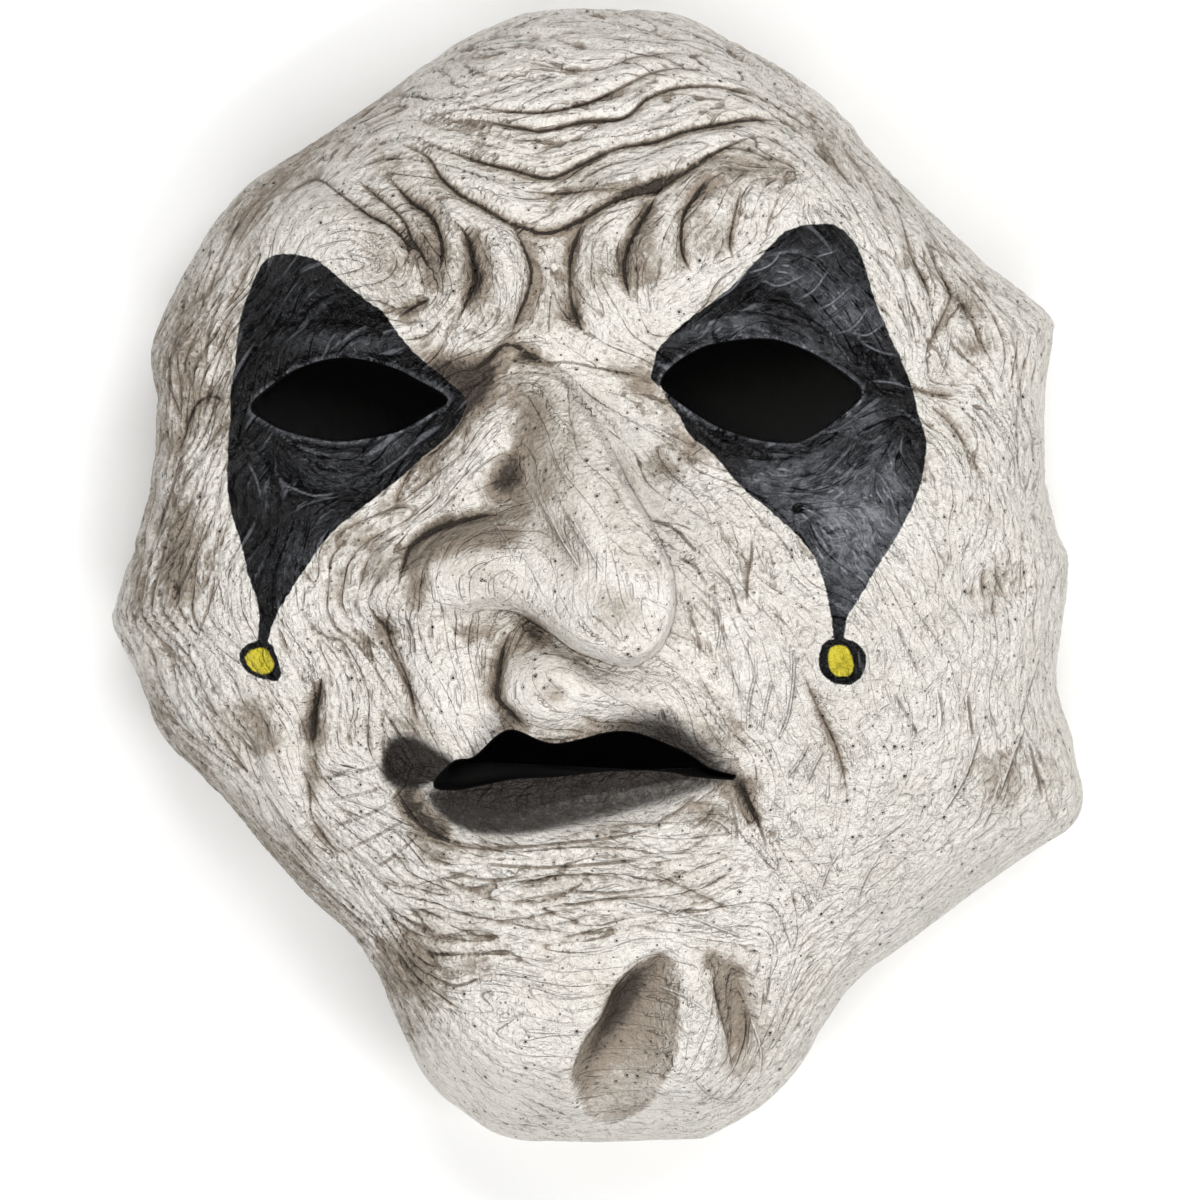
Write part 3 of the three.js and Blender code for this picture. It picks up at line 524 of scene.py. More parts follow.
# The lids: a smooth roll over each eye, a bag under it, and the creases that part them from the patches
LID_ROLLS = [
    ([(-76, 43), (-68.7, 49), (-63, 51.4), (-56.4, 52), (-49.6, 51), (-43.5, 48.2), (-37, 44)], 4.6, 2),
    ([(17, 50), (24, 54), (31.5, 55.6), (38.7, 55.2), (46, 53.2), (53.3, 50), (60, 45.5)], 4.6, 2.2),
    ([(-75, 32), (-69, 27), (-62, 24.2), (-54, 24.6), (-46, 28), (-38, 33.5)], 4.6, 2),
    ([(22, 33), (30, 28), (39, 25.6), (48, 26.5), (56, 31.5), (62, 37)], 5, 2),
]
LID_CREASES = [
    ([(-76.5, 55.2), (-72, 56.4), (-65.3, 57.4), (-59.8, 57.8), (-54, 56.4), (-46, 53)], 5, 1.8),
    ([(20, 54.5), (28.5, 59), (35, 59), (41.6, 58), (49, 55.5), (56.2, 51.5), (63.4, 46.5), (71, 41.5)],
       5, 1.7),
    ([(-78.9, 34.6), (-76.9, 28.5), (-73.5, 24.4), (-69.4, 21.4), (-63.9, 19.4), (-58, 19.6), (-53, 22),
       (-47.6, 26), (-42, 29.4)], 5, 2),
    ([(35, 22), (41, 20), (46, 20.5), (50.4, 21.6), (54, 23.7), (57.6, 25.9), (60.5, 28.8), (65, 29.8)],
       4, 2),
    ([(60.5, 42.6), (66.3, 41.8), (72, 40.6)], 3, 1.4), ([(-85, 40.5), (-81, 39.4), (-78, 38.6)], 3, 1),
]


def folds(x, y):
    """Height of the folds and creases over the main forms."""
    z = np.zeros(x.shape)
    for through, wide, deep in FOREHEAD_LAPS + CHIN_LAPS:
        lap(z, x, y, through, wide, deep)
    for through, wide, rise in BROW_ROLLS + LID_ROLLS:
        roll(z, x, y, through, wide, rise)
    for through, wide, deep in BROW_CREASES + FACE_CREASES + TEMPLE_CREASES + LID_CREASES:
        crease(z, x, y, through, wide, deep)
    return z


print("creases:", len(BROW_CREASES + FACE_CREASES + TEMPLE_CREASES + LID_CREASES))

# %% [markdown]
# ## Threads along the creases
# A crease is only as sharp as the net under it. So wherever a thread of the net crosses a crease, the
# nearest knot is slid onto it, and the bottom of every crease is then a clean chain of knots.

# %% Sliding the knots
ALL_FOLDS = FOREHEAD_LAPS + CHIN_LAPS + BROW_CREASES + FACE_CREASES + TEMPLE_CREASES + LID_CREASES
SLIDE_REACH = 1.7
CREASE_REACH = 4


def point_along(line, share):
    lengths = np.concatenate([[0], np.cumsum(np.hypot(*np.diff(line, axis=0).T))])
    return np.stack([np.interp(share * lengths[-1], lengths, line[:, k]) for k in (0, 1)], -1)


def crossings(signed):
    """Knots at the nearer end of every thread, or face diagonal, that runs from one side to the other."""
    chosen = np.zeros(signed.shape, bool)
    whole = slice(None)
    for first, second in (((whole, slice(None, -1)), (whole, slice(1, None))),
                          ((slice(None, -1), whole), (slice(1, None), whole)),
                          ((slice(None, -1), slice(None, -1)), (slice(1, None), slice(1, None)))):
        a, b = signed[first], signed[second]
        cross = (a * b < 0) & (np.abs(a) < SLIDE_REACH) & (np.abs(b) < SLIDE_REACH)
        chosen[first] |= cross & (np.abs(a) <= np.abs(b))
        chosen[second] |= cross & (np.abs(a) > np.abs(b))
    return chosen


def slide_threads(u, v, lines):
    """Moves knots of the net onto the lines."""
    x, y = np.moveaxis(skin_net(u, v)["place"][..., :2], -1, 0)
    target, best = np.stack([x, y], -1), np.full(x.shape, SLIDE_REACH)
    for line in lines:
        near = close_to(line, 2 * SLIDE_REACH, x, y)
        gap, share, left = nearest(line, x[near], y[near])
        signed, along_line = np.full(x.shape, 2 * SLIDE_REACH), np.zeros(x.shape)
        signed[near] = np.where((share > 0) & (share < 1), np.where(left, gap, -gap), 2 * SLIDE_REACH)
        along_line[near] = share
        chosen = crossings(signed) & (np.abs(signed) < best)
        best[chosen] = np.abs(signed[chosen])
        target[chosen] = point_along(line, along_line[chosen])
    moved = best < SLIDE_REACH
    for _ in range(2):
        place = skin_net(u, v)["place"][..., :2]
        need = np.where(moved[..., None], target - place, 0)
        across, up = np.gradient(place, axis=1), np.gradient(place, axis=0)
        det = across[..., 0] * up[..., 1] - across[..., 1] * up[..., 0]
        step_u = (need[..., 0] * up[..., 1] - need[..., 1] * up[..., 0]) / det
        step_v = (need[..., 1] * across[..., 0] - need[..., 0] * across[..., 1]) / det
        u = u + step_u * 2 / OUTER_COLUMNS
        v = v + step_v * 2 / OUTER_ROWS
    print("knots slid onto creases:", int(moved.sum()))
    return np.clip(u, -1, 1), np.clip(v, -1, 1)


fold_lines = [curve_through(points) for points, _, _ in ALL_FOLDS]
fold_lines += [curve_through(NOSE_CONTOUR), curve_through(CHIN_PIT)]
outer = skin_net(*slide_threads(*even_threads(OUTER_ROWS, OUTER_COLUMNS), fold_lines))

# %% [markdown]
# ## Carving the net
# The main forms rise straight out of the face. They are smoothed over the net before the folds go in,
# because a sculptor blends the clay before scribing it. The folds are then cut square to the surface.

# %% Blurring over the net, and the way out of the surface
def shifted(values, reach, axis):
    """The net's values moved along one axis by every number of threads up to `reach`, one by one."""
    padding = [(0, 0)] * values.ndim
    padding[axis] = (reach, reach)
    padded = np.pad(values, padding, mode="edge")
    count = values.shape[axis]
    return (np.take(padded, np.arange(i, i + count), axis) for i in range(2 * reach + 1))


def blur(values, cells):
    """A soft average over the net, in cells of about a millimetre."""
    reach = max(1, int(round(2.5 * cells)))
    weights = np.exp(-0.5 * (np.arange(-reach, reach + 1) / cells) ** 2)
    weights /= weights.sum()
    for axis in (0, 1):
        values = sum(weight * part for weight, part in zip(weights, shifted(values, reach, axis)))
    return values


def unit(vectors):
    return vectors / np.maximum(np.linalg.norm(vectors, axis=-1, keepdims=True), 1e-9)


def tangents(place):
    return np.gradient(place, axis=1), np.gradient(place, axis=0)


def outward(place):
    across, up = tangents(place)
    return unit(np.cross(across, up))


plain = outer["place"]
x, y = plain[..., 0], plain[..., 1]
carved = plain.copy()
FORM_BLUR = 1.2
carved[..., 2] += outer["carving"] * (blur(forms(x, y), FORM_BLUR) + nose(x, y))
print("highest point of the forms:", carved[..., 2].max().round(2), "mm")

# %% [markdown]
# ## Which way the skin runs
# Old skin creases along lines of its own, and its fine wrinkles run beside them. That way is read off the
# drawn folds and a few more lines, and anything can then be smeared along it like a comb through wet clay.

# %% Which way the skin runs, as a doubled angle so that there and back are the same way
FLOW_LINES = [
    [(-70, 60), (-86, 20), (-98, -10), (-92, -30)], [(-60, 0), (-50, -20), (-38, -36)],
    [(-84, -14), (-70, -40), (-56, -62), (-46, -90)], [(-66, -6), (-56, -24), (-46, -48)],
    [(-52, -60), (-30, -72), (0, -72), (30, -66)], [(-40, -90), (-20, -88), (6, -84), (30, -82)],
    [(34, -50), (38, -62), (44, -78)], [(60, -10), (70, -30), (80, -54)], [(84, 20), (86, -10), (84, -40)],
    [(96, 30), (98, -10), (102, -44)], [(64, -66), (80, -58), (98, -46)], [(50, -80), (66, -72), (84, -60)],
    [(28, 22), (44, 4), (54, -10)], [(24, 10), (36, -10), (44, -30)], [(62, -6), (70, -22), (74, -38)],
    [(-64, -46), (-54, -43), (-44, -44)], [(-63, -54), (-52, -52), (-42, -50)],
    [(-60, -62), (-50, -58), (-40, -55)], [(36, -52), (42, -58), (50, -68)],
    [(90, -34), (92, -46), (96, -56)], [(76, -36), (80, -46), (84, -58)],
    [(-70, 28), (-58, 21), (-44, 26), (-34, 36)], [(18, 36), (32, 22), (50, 22), (62, 34)],
    [(-78, 60), (-60, 66), (-44, 58)], [(20, 62), (40, 72), (56, 64), (66, 50)],
    [(-58, 2), (-52, 10), (-36, 20)], [(-40, -100), (-30, -112), (-10, -118)],
    [(40, -90), (40, -104), (34, -120)], [(-10, 36), (2, 12), (6, -8)],
    [(-36, -16), (-32, -28), (-28, -38)], [(-4, -20), (10, -24), (26, -36)],
    [(-36, -52), (0, -50), (28, -46)],
]


def skin_flow(x, y):
    """The cosine and sine of twice the angle that the wrinkles run at, from all the drawn lines nearby."""
    drawn = [item[0] for item in FOREHEAD_LAPS + CHIN_LAPS + BROW_CREASES + FACE_CREASES + TEMPLE_CREASES]
    lines = [np.array(points, float) for points in drawn + FLOW_LINES] + [edge_line[::CURVE_STEPS // 2]]
    twice = np.zeros(x.shape + (2,))
    for line in lines:
        for start, end in zip(line[:-1], line[1:]):
            length = math.hypot(*(end - start))
            ex, ey = (end - start) / length
            rx, ry = x - start[0], y - start[1]
            t = np.clip(rx * ex + ry * ey, 0, length)
            near = length / (((rx - t * ex) ** 2 + (ry - t * ey) ** 2) + 16) ** 1.5
            twice += near[..., None] * np.array([ex * ex - ey * ey, 2 * ex * ey])
    return unit(twice)


half = (slice(None, None, 2), slice(None, None, 2))
coarse_flow = skin_flow(x[half], y[half])


def refill(coarse, shape):
    """Values worked out on every second thread of the net, spread back over all of it."""
    rows = np.linspace(0, coarse.shape[0] - 1, shape[0])
    columns = np.linspace(0, coarse.shape[1] - 1, shape[1])
    r0 = np.minimum(rows.astype(int), coarse.shape[0] - 2)
    c0 = np.minimum(columns.astype(int), coarse.shape[1] - 2)
    fr, fc = (rows - r0)[:, None, None], (columns - c0)[None, :, None]
    top = coarse[r0][:, c0] * (1 - fc) + coarse[r0][:, c0 + 1] * fc
    low = coarse[r0 + 1][:, c0] * (1 - fc) + coarse[r0 + 1][:, c0 + 1] * fc
    return top * (1 - fr) + low * fr


flow = unit(refill(coarse_flow, x.shape))
print("flow worked out on", coarse_flow.shape[:2], "threads")

# %% [markdown]
# ### Smearing
# A wrinkle is grain drawn out in one direction. Averaging random grain along the flow, a millimetre at a
# time, gives streaks that bend with it. A stretched noise texture could only run straight.

# %% Grain smeared along the flow
DICE = np.random.default_rng(11)
SMEAR_STEP = 0.9


def thread_steps(place, flow):
    """How many threads of the net one millimetre along the flow crosses, in each direction of the net."""
    angle = 0.5 * np.arctan2(flow[..., 1], flow[..., 0])
    way = np.stack([np.cos(angle), np.sin(angle), np.zeros(angle.shape)], -1)
    square = outward(place)
    way = unit(way - (way * square).sum(-1, keepdims=True) * square)
    across, up = tangents(place)
    aa, au, uu = (across * across).sum(-1), (across * up).sum(-1), (up * up).sum(-1)
    wa, wu = (way * across).sum(-1), (way * up).sum(-1)
    det = np.maximum(aa * uu - au * au, 1e-6)
    return np.stack([(wu * aa - wa * au) / det, (wa * uu - wu * au) / det], -1)


def sample(values, row, column):
    row = np.clip(row, 0, values.shape[0] - 1.001)
    column = np.clip(column, 0, values.shape[1] - 1.001)
    r, c = row.astype(int), column.astype(int)
    fr, fc = row - r, column - c
    top = values[r, c] * (1 - fc) + values[r, c + 1] * fc
    return top * (1 - fr) + (values[r + 1, c] * (1 - fc) + values[r + 1, c + 1] * fc) * fr


def smear(grain, steps, length):
    """Averages the grain along the flow, for `length` millimetres each way."""
    rows, columns = np.meshgrid(*(np.arange(n, dtype=float) for n in grain.shape), indexing="ij")
    total, weight = grain.copy(), 1.0
    for way in (1, -1):
        r, c, last = rows.copy(), columns.copy(), way * steps
        for k in range(1, int(length / SMEAR_STEP)):
            ri = np.clip(np.rint(r).astype(int), 0, grain.shape[0] - 1)
            ci = np.clip(np.rint(c).astype(int), 0, grain.shape[1] - 1)
            step = steps[ri, ci]
            step = step * np.where((step * last).sum(-1) < 0, -1, 1)[..., None]
            last = step
            r, c = r + SMEAR_STEP * step[..., 0], c + SMEAR_STEP * step[..., 1]
            share = 0.5 + 0.5 * math.cos(math.pi * k * SMEAR_STEP / length)
            total += share * sample(grain, r, c)
            weight += share
    return total / weight


print("smeared in steps of", SMEAR_STEP, "mm")

# %% Cutting the folds square to the surface, less and less towards the rim
RIM_KEEP = 8
FOLD_SMEAR = 3.7
rim_fade = smooth_step(plain[..., 2] / RIM_KEEP)
folding = smear(folds(x, y), thread_steps(carved, flow), FOLD_SMEAR) * rim_fade
side_wall = smooth_step((outer["out"] - 0.9) / 0.1)
folding = np.where(folding > 0, folding * (1 - side_wall), folding * (1 - 0.5 * side_wall))
folded = carved + outward(blur(carved, 1.5)) * folding[..., None]
print("deepest fold:", folding.min().round(2), "mm")

# %% [markdown]
# ## Wrinkles
# Between the folds, old skin has fine wrinkles that all run one way in each place. Random grain smeared
# along the skin's own way gives them, finer and coarser.

# %% Grain for the wrinkles
along_threads = thread_steps(folded, flow)
WANDER, WANDER_CELLS, CELL_MM = 0.22, 5, 0.92
sway = blur(DICE.standard_normal(x.shape), WANDER_CELLS)
sway *= WANDER / sway.std()
along_threads = np.stack([along_threads[..., 0] * np.cos(sway) - along_threads[..., 1] * np.sin(sway),
                          along_threads[..., 0] * np.sin(sway) + along_threads[..., 1] * np.cos(sway)], -1)


def wrinkle_grain(wavelength, length):
    """Smeared grain with about this distance between wrinkles, in mm, spread evenly around 0."""
    grain = DICE.standard_normal(x.shape)
    grain = blur(grain, wavelength / 5 / CELL_MM) - blur(grain, wavelength / 2.2 / CELL_MM)
    streaks = smear(grain, along_threads, length)
    local = np.sqrt(blur(streaks**2, 8))
    return streaks / np.maximum(local, 1e-9)


WIDE_SPACING, WIDE_LENGTH = 6.5, 14
FINE_SPACING, FINE_LENGTH = 3.2, 8
wide_wrinkles = wrinkle_grain(WIDE_SPACING, WIDE_LENGTH)
fine_wrinkles = wrinkle_grain(FINE_SPACING, FINE_LENGTH)
print("wrinkles smeared")

# %% [markdown]
# ### Dark lines and eye patches
# Wash collects in a crease, and shade is painted under each overhanging fold and along the nose's edge,
# as a line thinner than the net, so its distance is kept and the line drawn in the material. The eye
# patches are needed here too, because thick paint fills the skin's fine wrinkles.

# %% Where the creases run, for the thin dark line of wash and painted shade in each
crease_gap = np.full(x.shape, float(CREASE_REACH))
crease_dark = np.zeros(x.shape)
wash_and_shade_by_crease = np.zeros(x.shape)
LAP_COUNT = len(FOREHEAD_LAPS) + len(CHIN_LAPS)
# Along the nose's edge the dark line is a painted shadow on the cheek's side
NOSE_LINE = [0, 0.2, 0.5, 1.1, 1.5, 1.5, 1.5, 1.4, 1.2, 1.4, 1.8, 1.5, 0.9, 0]
PIT_LINE = [(12, -85.5), (8, -88.5), (4, -93), (1, -99.5), (-3, -105.5), (-5.5, -112.5), (-4.5, -118)]
PIT_DEEP = [1, 1.6, 2.2, 1.6]
LINE_ENDS, FULL_DARK_DEPTH = 0.2, 2.4
WASH_AND_SHADE_REACH, SHARP_REACH, SHARP_KEEP, NOSE_KEEP = 2.2, 0.5, 0.15, 0.15
lined = ALL_FOLDS + [(NOSE_CONTOUR, 0, NOSE_LINE), (PIT_LINE[::-1], 0, PIT_DEEP)]
for number, (through, _, deep) in enumerate(lined):
    line = curve_through(through)
    near = close_to(line, CREASE_REACH, x, y)
    gap, share, left = nearest(line, x[near], y[near])
    strength = smooth_step(share / LINE_ENDS) * smooth_step((1 - share) / LINE_ENDS)
    strength *= np.minimum(along(deep, share) / FULL_DARK_DEPTH, 1)
    # wash and painted shade: both sides of a crease, but only under a lap's overhang and outside the nose and
    # pit edges
    spared_side = (left & (number < LAP_COUNT)) | (~left & (number >= len(ALL_FOLDS)))
    spared_share = SHARP_KEEP + (1 - SHARP_KEEP) * np.exp(-gap / SHARP_REACH)
    soft = strength * np.exp(-gap / WASH_AND_SHADE_REACH) * np.where(spared_side, spared_share, 1)
    soft *= NOSE_KEEP if number == len(ALL_FOLDS) else 1
    wash_and_shade_by_crease[near] = np.maximum(wash_and_shade_by_crease[near], soft)
    closer = gap < crease_gap[near]
    crease_gap[near] = np.where(closer, gap, crease_gap[near])
    crease_dark[near] = np.where(closer, strength, crease_dark[near])
print("knots on a dark line:", int((crease_gap < 0.5).sum()))

# %% Outlines of the black eye patches, for the skin is smoother under them
LEFT_PATCH = [
    (-70.5, 72.5), (-67, 72), (-62.5, 70.5), (-56, 65), (-51.5, 61.5), (-48, 59), (-45, 54.5), (-40, 49),
    (-34, 44), (-29.5, 39.5), (-30.5, 35), (-34, 30.5), (-39, 26.5), (-44, 22), (-53, 15), (-60.5, 8.5),
    (-65.5, 1.5), (-68.5, -3), (-71.5, -8), (-73.5, -13), (-74.5, -16), (-76.3, -15), (-76, -10),
    (-76.5, -5.5), (-78.5, 0), (-80, 6.5), (-82.5, 14), (-83.5, 20.5), (-83.5, 29.5), (-83, 36),
    (-83, 41.5), (-82, 47.5), (-81.5, 53), (-80.5, 59), (-78, 66), (-76, 70), (-73.5, 72),
]
RIGHT_PATCH = [
    (50.5, 79), (54, 78.5), (57, 76), (59, 73), (60.5, 68.5), (62.5, 62), (65.5, 55), (68.5, 48.5),
    (71, 42), (72.5, 35.5), (74, 30.5), (73.5, 24), (72, 18.5), (69.5, 13), (66.5, 7.5), (62.5, 1.5),
    (58.5, -5.5), (56, -9.5), (54.8, -15), (53, -15), (52, -7.5), (49.5, 2), (45.5, 8), (38.5, 14.5),
    (32, 20), (25, 28), (21, 31), (18, 36), (14, 42), (12, 44), (12.5, 47), (13.5, 50.5), (16, 53.5),
    (20, 57), (25.5, 61), (31, 65.5), (35, 70), (38.5, 73.5), (42, 77), (46, 78.5),
]


def under_patches(x, y, far):
    """Millimetres inside the nearer black patch, negative outside both, and `-far` far from them."""
    inside = np.full(x.shape, -far, float)
    near = (np.abs(x) < 96) & (np.abs(y - 28) < 62)
    for patch in (LEFT_PATCH, RIGHT_PATCH):
        inside[near] = np.maximum(inside[near], depth_inside(patch, x[near], y[near]))
    return inside


PATCH_FAR = 9
under_paint = under_patches(x, y, PATCH_FAR)
print("knots under the patches:", int((under_paint > 0).sum()))

# %% Puffed skin between sharp little creases, stronger on the cheeks and weaker on the nose and lips
# Each place: middle, half width and height, how much of the wrinkles it takes, turn
CALM_PLACES = [
    ((-4, 10), (20, 36), 0.75, 20), ((-22, 0), (20, 10), 0.6, 0), ((-12, -24), (14, 11), 0.9, 0),
    ((-34, -27), (12, 14), 0.6, 12), ((12, -30), (18, 9), 0.7, -20), ((-4, -50), (40, 8), 1, 0),
    ((10, -104), (24, 24), 0.7, 0), ((7, -104), (11, 18), 0.9, -14), ((-26, -112), (16, 14), 0.5, 0),
    ((-58, 74), (18, 12), 0.45, 0), ((14, 70), (24, 16), 0.3, 0), ((-22, 66), (14, 18), 0.4, 0),
    ((46, 82), (22, 9), 0.4, 0), ((60, -34), (30, 36), 0.8, 0), ((74, -66), (34, 16), 0.75, 30),
    ((86, -20), (16, 40), 0.4, 0), ((-68, -44), (6, 20), 0.5, 0), ((-30, 30), (10, 14), 0.3, 0),
    ((30, 20), (10, 12), 0.3, 0),
]
PATCH_CALM = 0.35
# Places that also lose the fine grain of the clay
SLEEK_PLACES = [
    ((-2, 10), (17, 34), 1, 15), ((-24, 1), (20, 9), 1, 0), ((-11, -25), (13, 10), 1, 0),
    ((7, -105), (11, 19), 1, -14), ((-34, -27), (10, 12), 0.7, 12), ((12, -32), (16, 6), 0.7, -20),
    ((33, -102), (5, 14), 0.8, 0), ((-24, -114), (14, 10), 0.6, 0), ((-70, -44), (5, 18), 0.6, 0),
    ((-58, 76), (16, 9), 0.5, 0), ((0, 100), (50, 24), 0.35, 0),
]
BUSY_PLACES = [
    ((0, 108), (60, 22), 0.35, 0), ((-98, 10), (12, 60), 0.5, 0), ((90, 50), (14, 26), 0.2, 0),
    ((-32, -84), (18, 10), 0.5, 0), ((0, -72), (40, 8), 0.2, 0),
]
FLAT_TOP = 1.3
lively, sleek = np.ones(x.shape), np.zeros(x.shape)
for at, size, amount, turn in BUSY_PLACES:
    lively += amount * blob(at, size, turn, x, y)
for at, size, amount, turn in CALM_PLACES:
    lively *= 1 - amount * np.minimum(1, FLAT_TOP * blob(at, size, turn, x, y))
for at, size, amount, turn in SLEEK_PLACES:
    sleek = np.maximum(sleek, amount * np.minimum(1, FLAT_TOP * blob(at, size, turn, x, y)))
lively *= 1 - PATCH_CALM * smooth_step(under_paint / 2)


def puffed(streaks, groove):
    """Rounded bands with a groove wherever the grain crosses zero."""
    bands = 1 - np.exp(-((streaks / groove) ** 2))
    return bands - bands.mean()


WIDE_HEIGHT, WIDE_GROOVE = 0.75, 0.6
FINE_HEIGHT, FINE_GROOVE = 0.3, 0.8
wrinkles = WIDE_HEIGHT * puffed(wide_wrinkles, WIDE_GROOVE)
wrinkles = wrinkles + FINE_HEIGHT * puffed(fine_wrinkles, FINE_GROOVE)
wrinkles = wrinkles * lively * rim_fade * (1 - crease_dark * np.exp(-((crease_gap / 2.5) ** 2)))
wrinkles = wrinkles - side_wall * wrinkles.max() * rim_fade
finished = folded + outward(blur(folded, 1.2)) * wrinkles[..., None]
NOSE_ROOM = 0.998  # keeps the grain on the tip of the nose inside the solid's box
finished[..., 2] *= NOSE_ROOM
print("finished skin reaches", finished.min((0, 1)).round(2), finished.max((0, 1)).round(2))

# %% [markdown]
# ## Eye holes and mouth
# The caster cuts these out of the cured skin with scissors, just inside the lids and lips, so each edge
# is the full wall thick and slightly rounded. Here the net's threads are first drawn onto the outline,
# then the faces inside it are dropped, and a rounded wall is built inwards from the edge.

# %% Outlines of the three openings
LEFT_EYE = [
    (-78, 38), (-73.5, 42.5), (-66.5, 46.5), (-57, 48.5), (-47, 46.5), (-40.5, 43.5), (-34, 39.5),
    (-37, 37), (-44, 33), (-49.5, 31.5), (-57, 30.5), (-63, 31), (-70.5, 33), (-74.5, 35),
]
RIGHT_EYE = [
    (14.5, 43.5), (18, 47.5), (24.5, 51), (33, 52.5), (39.5, 52.5), (46, 50.5), (52.5, 47), (58, 43),
    (59, 41), (58.5, 39.5), (54.5, 36), (48, 31.5), (43, 30), (35, 31), (26.5, 34), (20, 38), (16, 41),
]
MOUTH = [
    (-36.5, -47), (-32, -42), (-27.5, -41), (-22, -36), (-18.5, -35), (-12.5, -37.5), (-8.5, -38),
    (-3.5, -37), (2.5, -35.5), (8, -35.5), (14, -37.5), (20.5, -40.5), (25, -43.5), (31, -45.4),
    (22, -44.8), (16, -43.6), (8, -43.2), (-1, -43.7), (-9.5, -44.7), (-18.5, -45.2), (-26, -46.7),
    (-32, -47.8),
]
LIP_RADIUS = 0.9
BEHIND = 1.2


def grown(points, by):
    """The closed curve through a few points, moved outwards."""
    line = curve_through(points, closed=True)[:-1]
    way = np.roll(line, -1, 0) - np.roll(line, 1, 0)
    area = (line[:, 0] * np.roll(line[:, 1], -1) - np.roll(line[:, 0], -1) * line[:, 1]).sum()
    side = np.stack([way[:, 1], -way[:, 0]], -1) * np.sign(area)
    line = line + by * unit(side)
    return np.vstack([line, line[:1]])


print("openings:", [np.ptp(np.array(hole), axis=0).tolist() for hole in (LEFT_EYE, RIGHT_EYE, MOUTH)])


# %% Cutting an outline out of a skin
def net_faces(rows, columns):
    corner = np.arange((rows + 1) * (columns + 1)).reshape(rows + 1, columns + 1)
    a, b, c, d = corner[:-1, :-1], corner[:-1, 1:], corner[1:, 1:], corner[1:, :-1]
    return np.vstack([np.stack(three, -1).reshape(-1, 3) for three in ((a, b, c), (a, c, d))])


def cut_out(place, square, faces, line):
    """Draws the nearest points onto the outline and leaves out the faces inside it."""
    x, y = place[:, 0], place[:, 1]
    inside = within(line, x, y)
    ends = np.vstack([faces[:, [0, 1]], faces[:, [1, 2]], faces[:, [2, 0]]])
    ends = ends[inside[ends[:, 0]] != inside[ends[:, 1]]]
    used = np.unique(ends)
    gap = np.zeros(len(x))
    gap[used], share, _ = nearest(line, x[used], y[used])
    drawn = np.unique(np.where(gap[ends[:, 0]] < gap[ends[:, 1]], ends[:, 0], ends[:, 1]))
    lengths = np.concatenate([[0], np.cumsum(np.hypot(*np.diff(line, axis=0).T))])
    at = share[np.searchsorted(used, drawn)] * lengths[-1]
    move = np.stack([np.interp(at, lengths, line[:, k]) for k in (0, 1)], -1) - place[drawn, :2]
    slope = square[drawn, :2] / np.maximum(square[drawn, 2:], 0.35)
    place[drawn, :2] += move
    place[drawn, 2] -= (slope * move).sum(-1)
    on = np.zeros(len(x), bool)
    on[drawn] = True
    middle = place[faces].mean(1)
    gone = (inside | on)[faces].all(1) & ((inside & ~on)[faces].any(1) | within(line, *middle[:, :2].T))
    return faces[~gone]


outer_place = finished.reshape(-1, 3).copy()
outer_square = outward(blur(finished, 2)).reshape(-1, 3)
outer_faces = net_faces(OUTER_ROWS, OUTER_COLUMNS)
for hole in (LEFT_EYE, RIGHT_EYE, MOUTH):
    outer_faces = cut_out(outer_place, outer_square, outer_faces, grown(hole, LIP_RADIUS))
print("outer faces:", len(outer_faces))

# %% [markdown]
# ## The inside
# Slush casting leaves an even wall, so the inside follows the main forms and rounds off what is fine. The
# inner skin takes, at each place, the lowest level of the carving within a few millimetres around it.

# %% The inner skin, every fourth thread of the outer one
def lowest(values, cells):
    """The lowest value within a few cells, as a feeler would find it."""
    for axis in (0, 1):
        values = np.min(list(shifted(values, cells, axis)), 0)
    return values


FEELER_CELLS = 6
EVERY = OUTER_ROWS // INNER_ROWS
inner = skin_net(*even_threads(INNER_ROWS, INNER_COLUMNS), WALL)
relief = blur(lowest(finished[..., 2] - plain[..., 2], FEELER_CELLS), 3)[::EVERY, ::EVERY]
inner_skin = inner["place"].copy()
inner_skin[..., 2] += inner["carving"] * relief
inner_place = inner_skin.reshape(-1, 3)
inner_square = outward(inner_skin).reshape(-1, 3)
inner_faces = net_faces(INNER_ROWS, INNER_COLUMNS)
for hole in (LEFT_EYE, RIGHT_EYE, MOUTH):
    inner_faces = cut_out(inner_place, inner_square, inner_faces, grown(hole, LIP_RADIUS + BEHIND))
print("inner faces:", len(inner_faces))


# %% Rings of open edges, and the faces between two rings
def rings_of(faces):
    """The open edges of a skin walked into rings, longest first, with the skin to the left."""
    edges = np.vstack([faces[:, [0, 1]], faces[:, [1, 2]], faces[:, [2, 0]]])
    most = edges.max() + 1
    lonely = ~np.isin(edges[:, 0] * most + edges[:, 1], edges[:, 1] * most + edges[:, 0])
    follows = dict(edges[lonely].tolist())
    assert len(follows) == lonely.sum(), "two rings touch"
    rings = []
    while follows:
        ring = [next(iter(follows))]
        while ring[-1] in follows:
            ring.append(follows.pop(ring[-1]))
        rings.append(ring[:-1])
    return sorted(rings, key=len, reverse=True)


